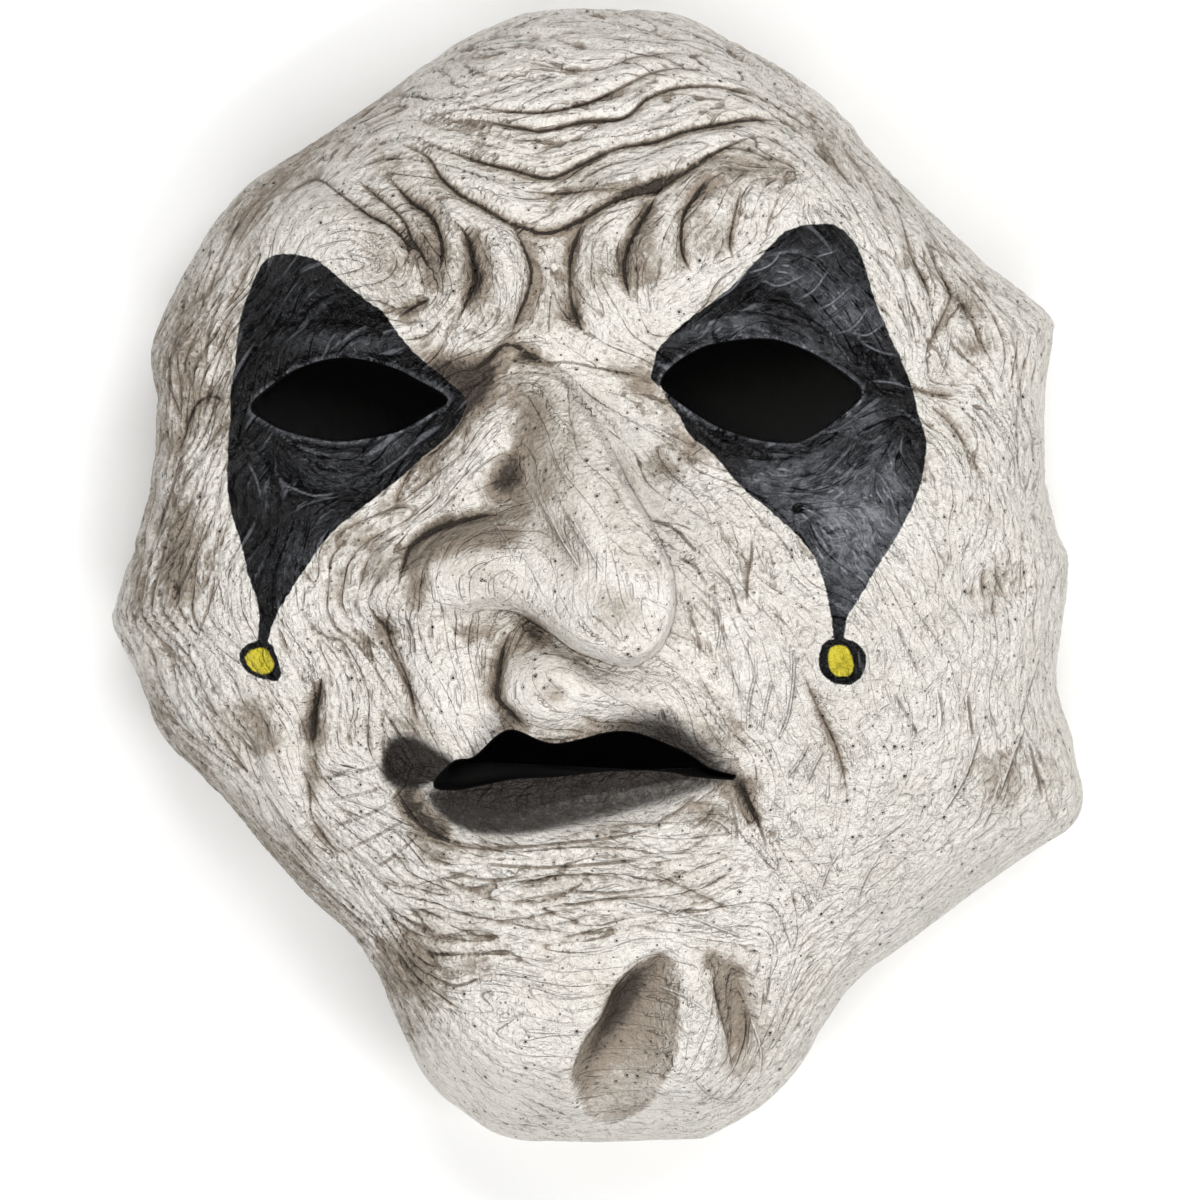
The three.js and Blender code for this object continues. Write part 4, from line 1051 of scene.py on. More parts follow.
def zip_faces(left, right, points):
    """Faces between two rings that run opposite ways, always taking the shorter way across."""
    right = right[::-1]
    start = int(np.argmin(np.linalg.norm(points[right] - points[left[0]], axis=1)))
    right = right[start:] + right[:start]
    faces, i, j = [], 0, 0
    while i < len(left) or j < len(right):
        a, a_next = left[i % len(left)], left[(i + 1) % len(left)]
        b, b_next = right[j % len(right)], right[(j + 1) % len(right)]
        across = np.linalg.norm(points[a_next] - points[b]) <= np.linalg.norm(points[b_next] - points[a])
        if j >= len(right) or (i < len(left) and across):
            faces.append((a_next, a, b))
            i += 1
        else:
            faces.append((b, b_next, a))
            j += 1
    return np.array(faces)


outer_rings, inner_rings = rings_of(outer_faces), rings_of(inner_faces)
print("rings:", [len(ring) for ring in outer_rings], [len(ring) for ring in inner_rings])

# %% [markdown]
# ### Cut edges
# Scissors leave an edge as thick as the skin, which softens a little at its outer corner. A bevel on the
# whole mesh would round the creases too, so the edge is built ring by ring, only where it was cut.

# %% The cut edges: a rounded lip, then straight down to the inside
LIP_TURNS = (30, 60, 90)
CUT_DEPTH = 1.6
first_inner = len(outer_place)
points = np.vstack([outer_place, inner_place])
groups = [outer_faces, inner_faces[:, ::-1] + first_inner]
inner_rings = [[i + first_inner for i in ring][::-1] for ring in inner_rings]
lip_source, lip_depth = [], []


def around(values, times):
    """Evens values out around a ring."""
    for _ in range(times):
        values = 0.25 * np.roll(values, 1, 0) + 0.5 * values + 0.25 * np.roll(values, -1, 0)
    return values


rim_ring, hole_rings = outer_rings[0], outer_rings[1:]
for ring in hole_rings:
    at = points[ring]
    square = unit(around(outer_square[ring], 6) + (0, 0, 2))
    inwards = unit(around(unit(np.cross(np.roll(at, -1, 0) - np.roll(at, 1, 0), square)), 3))
    turns = [math.radians(degree) for degree in LIP_TURNS]
    bends = [(LIP_RADIUS * math.sin(t), LIP_RADIUS * (1 - math.cos(t))) for t in turns]
    last = list(ring)
    for out, down in bends + [(LIP_RADIUS, LIP_RADIUS + CUT_DEPTH)]:
        new = list(range(len(points), len(points) + len(ring)))
        points = np.vstack([points, at + out * inwards - down * square])
        a, b = np.array(last), np.array(new)
        a_next, b_next = np.roll(a, -1), np.roll(b, -1)
        groups += [np.stack([a_next, a, b], -1), np.stack([a_next, b, b_next], -1)]
        lip_source += list(ring)
        lip_depth += [down] * len(ring)
        last = new
    behind = min(inner_rings[1:], key=lambda r: np.linalg.norm(points[r].mean(0) - at.mean(0)))
    groups.append(zip_faces(last, behind, points))
groups.append(zip_faces(rim_ring, inner_rings[0], points))
all_faces = np.vstack(groups)
print("triangles in the shell:", len(all_faces), "open edges:", len(rings_of(all_faces)))

# %% [markdown]
# ## What the brush knows
# Paint on a rubber mask follows its relief: thin brown wash runs into the creases and is wiped off the
# high places. So the amount of wash is worked out for every point from how far it lies below its
# surroundings, and handed to the shader as a value on the mesh, as are the edges of the black patches.
# Shade is painted in as well: the same brown under overhanging folds, in deep corners, under the nose
# and on the cut walls of the openings, and some lit places are kept pale.

# %% Wash in the hollows, with painted shade by the creases
def depth_below(place, cells):
    """How far each point lies below the average of its surroundings, in mm."""
    return ((blur(place, cells) - place) * outward(blur(place, cells))).sum(-1)


small_hollow = depth_below(finished, 2.2)
middle_hollow = depth_below(finished, 5)
wide_hollow = depth_below(finished, 11)
wash_and_shade = (
    0.3 * smooth_step(small_hollow / 0.7) + 0.35 * smooth_step(middle_hollow / 1.6)
    + 0.15 * smooth_step(wide_hollow / 3.5)
)
high = smooth_step(-middle_hollow / 1.2)
wash_and_shade = wash_and_shade * (1 - 0.6 * high)
# The dark by the creases is wash, and painted shade under overhanging folds and beside the nose
wash_and_shade = np.clip(wash_and_shade + 0.5 * wash_and_shade_by_crease, 0, 1.3)

# Soft brown, partly the airbrush's tone and partly painted shade in hollows, eye corners and under the
# nose: middle, half width and height, turn, strength
SHADED = [
    ((-12, 20), (5, 9), -10, 0.5), ((4, -8), (9, 8), 0, 0.42), ((-8, 6), (9, 12), 0, 0.34),
    ((7, 10), (6, 14), 10, 0.3), ((-26, 0), (12, 5), 0, 0.28), ((0, -70), (40, 10), 0, 0.18),
    ((-36, -63), (6, 3), 0, 0.5), ((100, -42), (5, 9), 0, 0.25), ((33, -112), (4, 5), 0, 0.4),
    ((-64, -44), (2.5, 6), 0, 0.6), ((-58, -3), (5, 5), 0, 0.4), ((-41, -34), (5, 4), -30, 0.45),
    ((-28, -88), (6, 4), 0, 0.45), ((-12, -24), (9, 8), 0, 0.3), ((31.5, -46.5), (3, 2.2), -30, 0.9),
    ((-44, -50), (3, 4), 0, 0.4), ((-93, 50), (7, 22), 0, 0.55), ((-80, 68), (4, 14), -15, 0.4),
    ((-105, -2), (5, 14), 0, 0.5), ((-32, 118), (12, 6), 20, 0.3), ((-48, 93), (5, 4), 0, 0.45),
    ((-65, 102), (30, 5), 41, 0.35), ((-95, 4), (6, 16), 0, 0.7), ((-100, 12), (6, 40), 0, 0.25),
    ((-100, -28), (8, 18), 30, 0.12), ((-29, 41), (7, 6), 30, 1.3), ((-37, 49), (8, 3), -25, 0.6),
    ((-14, 32), (6, 12), -12, 0.55), ((-8, 26), (10, 16), -20, 0.42), ((-17, 15), (9, 7), 20, 0.4),
    ((-16, 27), (5, 9), 0, 0.5), ((-40, -3), (3, 6), -10, 0.8), ((-64, 6), (9, 6), 35, 0.4),
    ((-52, -14), (8, 5), 30, 0.3), ((11, 76), (4, 11), -8, 0.5), ((27, 89), (11, 4), 38, 0.6),
    ((-2, 87), (6, 3), 0, 0.4), ((0, 71), (4, 8), 0, 0.35), ((-48, 70), (7, 9), 20, 0.35),
    ((-38, 80), (5, 6), 0, 0.35), ((-27, 66), (4, 9), 0, 0.6), ((10, 43), (5, 5), 0, 0.7),
    ((24, 29), (9, 4), -30, 0.4), ((15, 24), (5, 5), 20, 0.4), ((-34, 70), (3, 8), 0, 0.3),
    ((-20, 56), (10, 4), 0, 0.35), ((84, 62), (5, 9), 20, 0.35), ((89, -5), (6, 7), 0, 0.3),
    ((86, 52), (5, 5), 0, 0.5), ((-38, -57), (5, 4), -30, 0.3), ((-42, -89), (9, 10), 0, 0.75),
    ((-40, -100), (6, 8), 20, 0.3), ((-82, -35), (6, 9), 30, 0.4), ((58, -20), (4, 4), 0, 0.15),
    ((82, -28), (4, 6), 0, 0.2), ((-14.5, -12.4), (4.6, 2.6), -35, 1), ((-27, -13), (6, 2.6), 0, 0.5),
    ((-18, -17), (4, 3), -30, 0.4), ((-9.6, -26.4), (4, 3.6), 0, 0.5), ((29, -46), (6, 5), 0, 0.6),
    ((26, -36), (11, 7), -35, 0.42), ((50, 102), (14, 5), -35, 0.3), ((29.5, -90), (4, 5), -10, 0.45),
    ((-14, 36), (6, 8), -15, 0.7), ((4, -4), (9, 15), 0, 0.2), ((-96, 28), (4, 10), 0, 0.4),
    ((-84, 50), (3, 14), 0, 0.4), ((-34, 28), (5, 4), 30, 0.5), ((-62, 12), (7, 4), 35, 0.35),
    ((-18, 41), (4, 6), 10, 0.6), ((24, -53), (8, 4), -10, 0.5), ((33, -47), (4, 5), 0, 0.6),
    ((-20.5, 21.5), (5, 6.5), -20, 0.85), ((-22, 47), (4, 4), 0, 0.7), ((-92, -3), (4, 7), 0, 0.45),
    ((-63, -37), (3, 6), 0, 0.6), ((-39, -60), (4, 5), 0, 0.5), ((10, -30), (10, 3), 0, 0.3),
    ((92, 0), (5, 5), 0, 0.35),
]
# Places wiped clean of wash, some of them kept pale as painted light where light falls: under the nose
# tip, on the wing's underside and beside the nose's edge
WIPED_AND_LIT_BANDS = [
    (NOSE_CONTOUR[2:15], 6, 0.9), (NOSE_CONTOUR[14:], 4, 0.55),
    ([(-73, -34), (-72.5, -46), (-68, -60)], 6, 1), ([(-34, 16.5), (-26, 17), (-18, 15)], 3, 0.8),
    ([(-11, 51), (-3, 44.5), (3, 35), (9, 25)], 4, 1), ([(-22, 38), (-25, 30), (-28, 20)], 3, 0.9),
    ([(-14, 50.5), (-6, 49.5), (2, 46.5)], 3, 0.8),
    ([(-24, 80), (-20, 72), (-19, 66), (-22, 58), (-27, 53)], 3, 0.5), ([(-34, 60), (-32, 68)], 2.5, 0.4),
    ([(-58, 90), (-52, 86), (-47, 82)], 3, 0.5), ([(-36, -4), (-26, -3), (-14, -6)], 4, 0.8),
]
WIPED_AND_LIT = [
    ((2, -22.5), (8, 3), 0, 0.8), ((18, 8), (6, 20), 22, 0.7), ((4, 38), (6, 10), 28, 0.7),
    ((6, -25), (14, 6), 0, 0.7), ((-31, -10), (14, 5), 0, 0.8), ((-10, -32), (8, 5), 0, 0.6),
    ((-70, -44), (5, 18), 0, 0.6), ((29, -105), (5, 10), 0, 0.3), ((-61, 85), (8, 7), 0, 0.9),
    ((-45, 7), (4, 8), -30, 1), ((-28, 56), (7, 5), -30, 1), ((-8, 64), (4, 6), 0, 0.9),
    ((-39, 15), (7, 3), 15, 0.7), ((-12, -62), (20, 3), 0, 0.9), ((-88, 72), (5, 9), -30, 0.7),
    ((-27, 104), (7, 4), 0, 0.5), ((3, 94), (6, 3), 10, 0.5), ((26, 6), (6, 7), 0, 0.6),
    ((-48, 4), (3.5, 7), 0, 0.7), ((-22, -4), (14, 4), 0, 0.8), ((-46, -73), (6, 4), 0, 0.6),
    ((22, 110), (9, 4), 0, 0.4), ((40, 97), (9, 3), -10, 0.5), ((5, -60), (26, 3), 0, 0.5),
    ((24, 14), (8, 16), 20, 0.6), ((-22, -118), (16, 10), 0, 0.5), ((-89, 20), (4, 18), 0, 1),
    ((8, -12), (12, 14), 0, 0.6),
]
# Long bands of the same brown, tone and painted shade: line, half width, strength
SHADE_BANDS = [
    ([(-5, 36), (3, 20), (8, 6), (10, -7)], 6, 0.3),
    ([(-38, 122), (-55, 106), (-70, 94), (-80, 83), (-86, 68)], 5.5, 0.42),
    ([(-92, 72), (-98, 64), (-100, 45), (-103, 25), (-108, 2)], 6, 0.42),
    ([(-109, -12), (-104, -26), (-96, -40), (-84, -53), (-72, -66.5), (-58, -82), (-47, -101)], 5, 0.5),
    ([(-40, 117), (-20, 126), (0, 128.5), (20, 126.5), (40, 117), (54, 105)], 4, 0.15),
    ([(-82, 68), (-85, 50), (-85.5, 35), (-83, 20)], 3, 0.35),
    ([(-42.5, -4), (-40, 2.8), (-34, 6.8), (-27, 8.6), (-19, 8.6), (-13, 7)], 2.8, 0.75),
    ([(-44.5, -46), (-42, -51), (-38, -56), (-32, -59.5)], 2.4, 1.2),
    ([(-22, -33), (-14, -35.5), (-4, -35), (4, -32)], 2.5, 0.4),
    ([(29, -45), (32.5, -50.5), (36, -57)], 2, 0.6),
    ([(-41, 78), (-38, 73), (-36.6, 68), (-37.4, 62)], 2.6, 0.7),
    ([(-30.5, 78), (-27, 72), (-26, 66), (-28, 61)], 3, 0.5), ([(-8.5, 70), (-9, 62), (-6, 55)], 3, 0.35),
    ([(10, 76), (11, 70), (13, 64)], 4, 0.5), ([(22, 84), (25, 76), (26, 70)], 3, 0.4),
    ([(20, 84), (28, 89), (38, 91.5), (48, 90)], 4, 0.45),
    ([(-40, 47.5), (-34, 45.5), (-27, 45), (-21, 47)], 3.4, 1.25),
    ([(-31, 42), (-31, 37), (-34, 31)], 4.5, 0.8), ([(-50, 16), (-42, 16)], 4, 0.4),
    ([(-46, 22), (-40, 23), (-34, 27)], 4, 0.45), ([(14, 42), (17, 33), (26, 25)], 3, 0.45),
    ([(-62, 14), (-50, 6), (-46, -4)], 5, 0.45), ([(-80, -26), (-78, -33), (-73, -42)], 4, 0.5),
    ([(-45, -79), (-43, -88), (-45, -99)], 6, 0.55), ([(-22, -31), (-18, -34), (-14, -36)], 3, 0.6),
    ([(89, -38), (91, -46), (94, -54)], 4.5, 0.38), ([(12, -33), (20, -37), (28, -43)], 4, 0.4),
    ([(-24.5, -17), (-25, -23), (-24, -29)], 3, 0.25),
    ([(29.5, -87), (32, -95), (33.4, -104), (33.6, -116)], 6, 0.36),
    ([(22, -86.5), (28, -87), (35, -91)], 2.2, 0.55), ([(-48, -82), (-46, -96), (-40, -108)], 3, 0.4),
    ([(-96, -6), (-92, 10), (-90, 22)], 4, 0.35),
]
UNDERTONE = 0.15
fx, fy = finished[..., 0], finished[..., 1]
shade = np.zeros(fx.shape)
for at, size, turn, amount in SHADED:
    tone = amount * blob(at, size, turn, fx, fy)
    shade = np.maximum(shade, tone) + UNDERTONE * tone
for through, wide, amount in SHADE_BANDS:
    near, q, _, _, fade = lane(through, 2.2 * wide, fx, fy, 0.2)
    tone = amount * fade * np.exp(-2.6 * q * q) * smooth_step((1 - q) / 0.3)
    shade[near] = np.maximum(shade[near], tone) + UNDERTONE * tone
# The inside of the chin's wide pit, darkest at its upper left
PIT_SOFT, PIT_TONE, PIT_DARK, PIT_WIPED = 1.2, 0.52, 0.9, 0.5
near = (np.abs(fx - 3) < 16) & (np.abs(fy + 103) < 26)
inside_pit = smooth_step((depth_inside(CHIN_PIT, fx[near], fy[near]) + PIT_SOFT / 2) / PIT_SOFT)
tone = PIT_TONE + PIT_DARK * blob((3, -95), (6.5, 13), -25, fx[near], fy[near])
shade[near] = np.maximum(shade[near], inside_pit * tone)
wash_and_shade[near] *= 1 - PIT_WIPED * inside_pit
for through, wide, amount in WIPED_AND_LIT_BANDS:
    near, q, _, _, fade = lane(through, 2 * wide, fx, fy, 0.12)
    wash_and_shade[near] *= 1 - amount * fade * np.exp(-2.2 * q**2) * (q < 1)
for at, size, turn, amount in WIPED_AND_LIT:
    wash_and_shade *= 1 - amount * blob(at, size, turn, fx, fy)
print("wash: mean", wash_and_shade.mean().round(3), "shade: mean", shade.mean().round(3))

# %% [markdown]
# ### Marks drawn as lines and outlines
# Tool cuts, painted highlights on the black, the grey of the lips with its painted shade and the edges of
# the black patches don't come out of the relief, so each is measured as a short line, an oval or an
# outline. Cuts and sharp edges are kept as distances in millimetres: between two points of the net a
# distance stays right, where a tone would blur.

# %% Fine lines that are thinner than the net: little cuts, and welts that stand up beside them
CUTS = [
    ([(-49, -45.5), (-44.5, -44.2), (-39.5, -42.6), (-34, -43)], 1),
    ([(-46, -46), (-44, -50.5), (-40, -56), (-33.5, -59.6), (-26, -61)], 1),
    ([(66.7, -9.2), (68.5, -14.6), (71.2, -20), (72.6, -23.6)], 0.7),
    ([(65.7, -25.4), (68.5, -29.9), (71.2, -34.5), (72.6, -38)], 0.8),
    ([(76.6, -25), (77.7, -31.8), (77.1, -36)], 0.9), ([(83.4, -25), (83.9, -31.8), (85, -38)], 0.9),
    ([(97.4, -36.3), (98.7, -41.7), (100.1, -47.1), (101, -51.5)], 0.9),
    ([(31.8, -46), (34.5, -52), (37, -58), (38.4, -62.5)], 1),
    ([(35.5, -48), (41, -52.5), (45.9, -58), (49.5, -63.4)], 0.5),
    ([(29.5, -49), (31, -55.3), (31.3, -61.6)], 0.6), ([(27, -50), (24.5, -54.5), (20, -57.5)], 0.6),
    ([(23, -48.5), (18, -53), (12, -56)], 0.5), ([(27.5, -55), (23, -60), (17, -63)], 0.5),
    ([(-33, -60.4), (-22, -61.2), (-8, -60.2), (6, -58.4), (18, -55.5)], 0.8),
    ([(-30, -64.5), (-14, -65.6), (2, -64.6), (14, -63.4)], 0.9),
    ([(-36, -66), (-24, -68.6), (-14, -66.6)], 0.7), ([(-8, -70.8), (4, -71.4), (14, -70)], 0.6),
    ([(-49.5, -13.5), (-46, -18.5), (-44, -22), (-42, -26), (-41, -30.5), (-39.5, -34.5)], 0.8),
    ([(-43.5, -8), (-41.5, -13), (-40.8, -19)], 0.8), ([(-52, -12), (-50, -20), (-46.5, -28)], 0.6),
    ([(-58, -14), (-54.5, -22), (-52, -30)], 0.5), ([(-47, -31), (-45, -35), (-44, -38)], 0.7),
    ([(-63.5, -46), (-56, -44.5), (-48, -42.8)], 0.6), ([(-62.5, -51), (-54, -49.4), (-46.5, -47)], 0.7),
    ([(-61, -57), (-53, -54.4), (-45, -50.5)], 0.7), ([(-57.5, -62.5), (-50, -58.8), (-42.5, -54.5)], 0.7),
    ([(-51.5, -67), (-45, -62.6), (-40, -58)], 0.6), ([(-76.5, -47), (-69, -58), (-60, -68)], 0.7),
    ([(-72, -62), (-60, -73), (-50, -82)], 0.6), ([(14.2, -29.8), (15, -32.6)], 1),
    ([(12, 12.5), (17, 10.5), (20.5, 7), (23, 4)], 0.8), ([(17.5, 4.5), (22, 1.5), (24.5, -2.5)], 0.8),
    ([(34.5, 10), (34.5, 4.5), (33.5, -0.5), (33.5, -8)], 0.6),
    ([(27, 14), (28, 9), (32, 3), (33, -4)], 0.5), ([(22, -4), (27, -10), (30, -17)], 0.6),
    ([(20, -8), (22.5, -14), (23, -20)], 0.5), ([(26, -16), (30, -22), (32.5, -29)], 0.5),
    ([(-15, 20), (-10, 10), (-5, 2)], 0.35), ([(-10, 20), (-6, 11), (-1, 3)], 0.35),
    ([(-12, 30), (-9, 24), (-6, 18)], 0.3), ([(40, 70), (37, 67), (32, 65.5)], 0.9),
    ([(50, 67), (46.5, 62.5), (43, 60.5)], 0.9), ([(57.5, 62), (53, 58.5), (50, 57.6)], 0.9),
    ([(62, 57), (58, 53.6), (54, 52.4)], 0.9), ([(33, 63.5), (29, 61.5), (24, 59.6)], 0.7),
    ([(66, 35), (65.4, 31), (66.5, 27)], 0.9), ([(-81.5, 33), (-79, 27), (-76.5, 20)], 0.7),
    ([(-62, 14), (-66, 8), (-70, 0)], 0.6), ([(-46, 44), (-40, 42), (-33, 38)], 0.4),
    ([(92, 60), (94.5, 52), (95.5, 42), (95, 32), (96, 22)], 0.6), ([(-84, 66), (-88, 55), (-89, 45)], 0.7),
    ([(-94, 60), (-97, 48), (-97.5, 38)], 0.6), ([(-93, 30), (-97, 18), (-101, 6)], 0.8),
    ([(-88, 14), (-92, 2), (-97, -8)], 0.8), ([(-84, 2), (-88, -8), (-92, -18)], 0.6),
]
WELTS = [
    ([(44.1, -15), (43.8, -24), (42.5, -32), (39.5, -39)], 1),
    ([(47.6, -37), (45.2, -41.7), (42, -46)], 0.9), ([(51, -38.5), (48.5, -43), (46.5, -48)], 0.8),
    ([(86.4, -34), (83, -45), (77, -55)], 1), ([(91.8, -43), (88.3, -54.4), (86, -58)], 0.8),
    ([(97, -33), (92.9, -43.5), (90, -51.5)], 1), ([(100.6, -17), (96.5, -29), (94.5, -36)], 0.8),
    ([(36, -20), (34, -28), (33.5, -36)], 0.8), ([(39.6, -22), (37.5, -30), (36.5, -37)], 0.7),
    ([(56, -60), (52, -66), (50, -72)], 0.7), ([(64, -62), (60, -69), (58, -76)], 0.6),
    ([(25.5, -3), (27.5, -11), (26.5, -19)], 0.8), ([(24, 2), (29, -2), (31.5, -9)], 0.6),
    ([(16, -74), (24, -78), (34, -82)], 0.8), ([(12, -92), (20, -95), (28, -101)], 0.5),
    ([(4, -72.5), (14, -75), (24, -78)], 0.7), ([(20.5, -112), (26, -118), (34, -120)], 0.6),
    ([(34, -98), (37, -108), (36, -117)], 0.5), ([(41.5, 73), (38.8, 69.6), (33.6, 67.6)], 1),
    ([(54, 73), (49, 71.4)], 0.9), ([(52.2, 69), (49, 64.4), (45, 61.8)], 1),
    ([(57, 65), (53, 61.4), (49.5, 59.6)], 1), ([(61, 60), (57.6, 55.8), (53.5, 54.2)], 1),
    ([(64.4, 56.5), (60.5, 54), (56, 55.2)], 0.9), ([(68, 49.4), (63.4, 50.4), (59, 52.6)], 1),
    ([(47, 67.6), (41, 65), (36.8, 66.2)], 0.9), ([(34.6, 70), (30.7, 64.6), (26, 61.4)], 0.9),
    ([(71.5, 42), (66, 43.4), (61, 43.8)], 1), ([(62, 24), (65, 20), (67, 14)], 0.7),
    ([(54, 16), (58, 12), (60, 6)], 0.6), ([(-70.5, 20.5), (-64, 18), (-58.5, 18.6)], 0.8),
    ([(-50, 22), (-45, 25.6), (-41, 28.6)], 0.6), ([(-79, 26), (-77, 22), (-75.6, 17)], 0.7),
    ([(-47, -52), (-43, -47.5), (-41.5, -43)], 0.6), ([(-12, 16), (-8, 8), (-3, 0)], 0.5),
    ([(-7, 15), (-2, 6), (2, -1)], 0.5), ([(-19, 8), (-15, 2), (-12, -4)], 0.4),
    ([(-24, 14), (-20, 7), (-17, 1)], 0.4), ([(60, 97), (68, 89), (75, 78), (79, 68)], 0.7),
    ([(20, 125), (34, 119), (46, 110)], 0.6), ([(8, 121.5), (24, 120.5), (38, 113.5)], 0.5),
    ([(68, 70), (70, 60), (72, 50)], 0.7), ([(80, 58), (79, 50), (77, 44)], 0.6),
    ([(-34, 118), (-20, 121), (-6, 120)], 0.5),
]
LINE_REACH, LINE_FADE, LINE_FULL, LINE_TAPER = 5, 1.6, 0.7, 0.25


def fine_lines(drawn):
    """How far each point is to one side of the nearest line, or to the other, and that line's strength."""
    side, strength = np.full(fx.shape, float(LINE_REACH)), np.zeros(fx.shape)
    for through, amount in drawn:
        line = curve_through(through)
        near = close_to(line, LINE_FADE, fx, fy)
        gap, share, left = nearest(line, fx[near], fy[near])
        ends = smooth_step(share / LINE_TAPER) * smooth_step((1 - share) / LINE_TAPER)
        here = amount * ends * (1 - smooth_step((gap - LINE_FULL) / (LINE_FADE - LINE_FULL)))
        closer = gap < np.minimum(np.abs(side[near]), LINE_FADE)
        side[near] = np.where(closer, np.where(left, gap, -gap), side[near])
        strength[near] = np.where(closer, here, strength[near])
    return side, strength


cut_side, cut_strength = fine_lines(CUTS)
welt_side, welt_strength = fine_lines(WELTS)
print("fine lines:", len(CUTS), "cuts and", len(WELTS), "welts")

# Painted highlights, where the black is lightened to a bluish grey as a sheen would show: middle, half
# width and height, turn, strength
SHEEN_HIGHLIGHTS = [
    ((66, 22), (4, 10), 15, 0.7), ((59, 34), (7, 3), 20, 0.55), ((46, 15), (6, 8), 40, 0.7),
    ((42, 21), (9, 4), -10, 0.8), ((58, 11), (12, 14), 15, 1.2), ((55, 60), (6, 6), -35, 0.7),
    ((44, 67), (11, 4), -25, 0.5), ((62, 58), (3, 7), 20, 0.4), ((42, 21), (8, 4), 0, 0.6),
    ((56, -2), (5, 9), 0, 0.5), ((66, 66), (3, 8), 15, 0.3), ((52, 12), (8, 12), 0, 0.5),
    ((56, -2), (6, 8), 0, 0.4), ((28, 55.5), (12, 2.6), 12, 0.5), ((50, 52), (10, 2.4), -28, 0.3),
    ((-57, 52.3), (14, 2.4), -4, 0.3), ((-58, 21.5), (9, 2.6), 0, 0.25), ((-60, 26), (10, 3), 0, 0.2),
    ((-47, 28), (6, 3), 35, 0.35), ((-76, 24), (3, 8), 15, 0.15), ((-66, 62), (8, 6), 0, 0.08),
    ((47, 24), (7, 3), 10, 0.55), ((50, 68), (9, 8), 0, 0.25), ((-66, 4), (5, 9), -20, 0.2),
    ((-64, 10), (10, 5), 35, 0.12),
]
sheen_highlight = np.zeros(fx.shape)
for at, size, turn, amount in SHEEN_HIGHLIGHTS:
    sheen_highlight = np.maximum(sheen_highlight, amount * blob(at, size, turn, fx, fy))

# %% Dark grey on the lips, with painted shade round the mouth, and the edges of the black eye patches in millimetres
# The lower lip's grey comes first; the outlines over the upper lip, between its lobes and at the corners are
# partly painted shade
LIP_GREY_AND_SHADE = [
    ([(-38, -48.5), (-32, -47), (-18.5, -44.5), (-1, -42.5), (16, -42), (26, -43.5), (31, -46), (26, -49),
       (15, -52.3), (5, -54.6), (-8, -57.4), (-18, -58.6), (-27, -58.2), (-33, -55.8), (-37, -52)],
       -1.2, [1.4, 3.4], [1.05, 0.9]),
    ([(-38, -48.5), (-32, -47), (-18.5, -44.5), (-1, -42.5), (16, -42), (26, -43.5), (24, -46.5),
       (10, -48.5), (-4, -51), (-18, -54.5), (-28, -56), (-34, -54)], -4, [4, 4], [1.35, 1.35]),
    ([(-38, -43), (-30, -41), (-27, -37), (-24, -37), (-25, -41), (-32, -44)], -2, [1.5, 1.5], [0.6, 0.6]),
    ([(-6, -38), (0, -34.5), (6, -32), (11, -30.8), (16, -31), (22, -35.5), (28, -41), (32, -45.5),
       (26, -45.5), (18, -42), (10, -38), (2, -37.5)], -4, [4, 4], [0.4, 1.1]),
    ([(-27, -36), (-24.5, -31), (-21.5, -29), (-18, -33), (-19, -37), (-24, -39)], -3, [3, 3],
       [0.55, 0.55]),
    ([(-48.5, -40.5), (-46.5, -36.4), (-41.5, -35.8), (-37, -38), (-31.5, -42), (-35, -45.4), (-39, -48),
       (-44.5, -48.6), (-48.5, -45.4)], -2, [3, 3], [1.4, 1.4]),
    ([(-42, -43), (-36, -42.6), (-30, -42.8), (-31, -44.4), (-37, -46.8), (-41, -47)], -1.5, [1.5, 1.5],
       [1.1, 0.9]),
    ([(-18, -36.5), (-12, -38.5), (-5, -39), (-5, -37), (-12, -36.3)], -1.5, [1, 1], [0.5, 0.5]),
]
LIP_LEFT, LIP_RIGHT = -36, 26
lip_grey_and_shade = np.zeros(fx.shape)
near_lips = (np.abs(fx + 6) < 56) & (np.abs(fy + 46) < 24)
lip_x = fx[near_lips]
across_lip = smooth_step((lip_x - LIP_LEFT) / (LIP_RIGHT - LIP_LEFT))
for points_of_lip, start, full, amount in LIP_GREY_AND_SHADE:
    inside_lip = depth_inside(points_of_lip, lip_x, fy[near_lips])
    full_at = full[0] + (full[1] - full[0]) * across_lip
    strength = amount[0] + (amount[1] - amount[0]) * across_lip
    grey = strength * smooth_step((inside_lip - start) / (full_at - start))
    lip_grey_and_shade[near_lips] = np.maximum(lip_grey_and_shade[near_lips], grey)
BELLS = [
    [(-79.1, -18.2), (-77.9, -17), (-75.9, -16.3), (-74.3, -16.6), (-73.4, -18.2), (-72.7, -20),
       (-73.6, -22), (-75.5, -22.3), (-77.6, -21.4), (-78.9, -19.8)],
    [(51.9, -16.7), (53.3, -15.8), (55.6, -16), (57, -18.4), (57.4, -20.6), (56.6, -22.5), (54, -22.6),
       (52.4, -21.7), (51.6, -19.1)],
]
BELL_RINGS = [
    [(-80.5, -17.7), (-79.4, -16), (-77.6, -15), (-75.5, -14.8), (-73.3, -15.6), (-72, -18), (-71.3, -20.6),
       (-71, -22.5), (-72.2, -24), (-73.5, -23.6), (-75.5, -23.3), (-78.2, -22.3), (-80, -20.3)],
    [(49.8, -16.6), (51.4, -14.7), (54, -14.1), (57.6, -14.9), (59.8, -17.3), (60.1, -20.2), (58.8, -23.2),
       (56.2, -24.6), (52.5, -24), (50.1, -21.8), (49.4, -18.8)],
]
PAINT_FADE = 12
flat_x, flat_y = outer_place[:, 0], outer_place[:, 1]
paint = under_patches(flat_x, flat_y, PAINT_FADE)
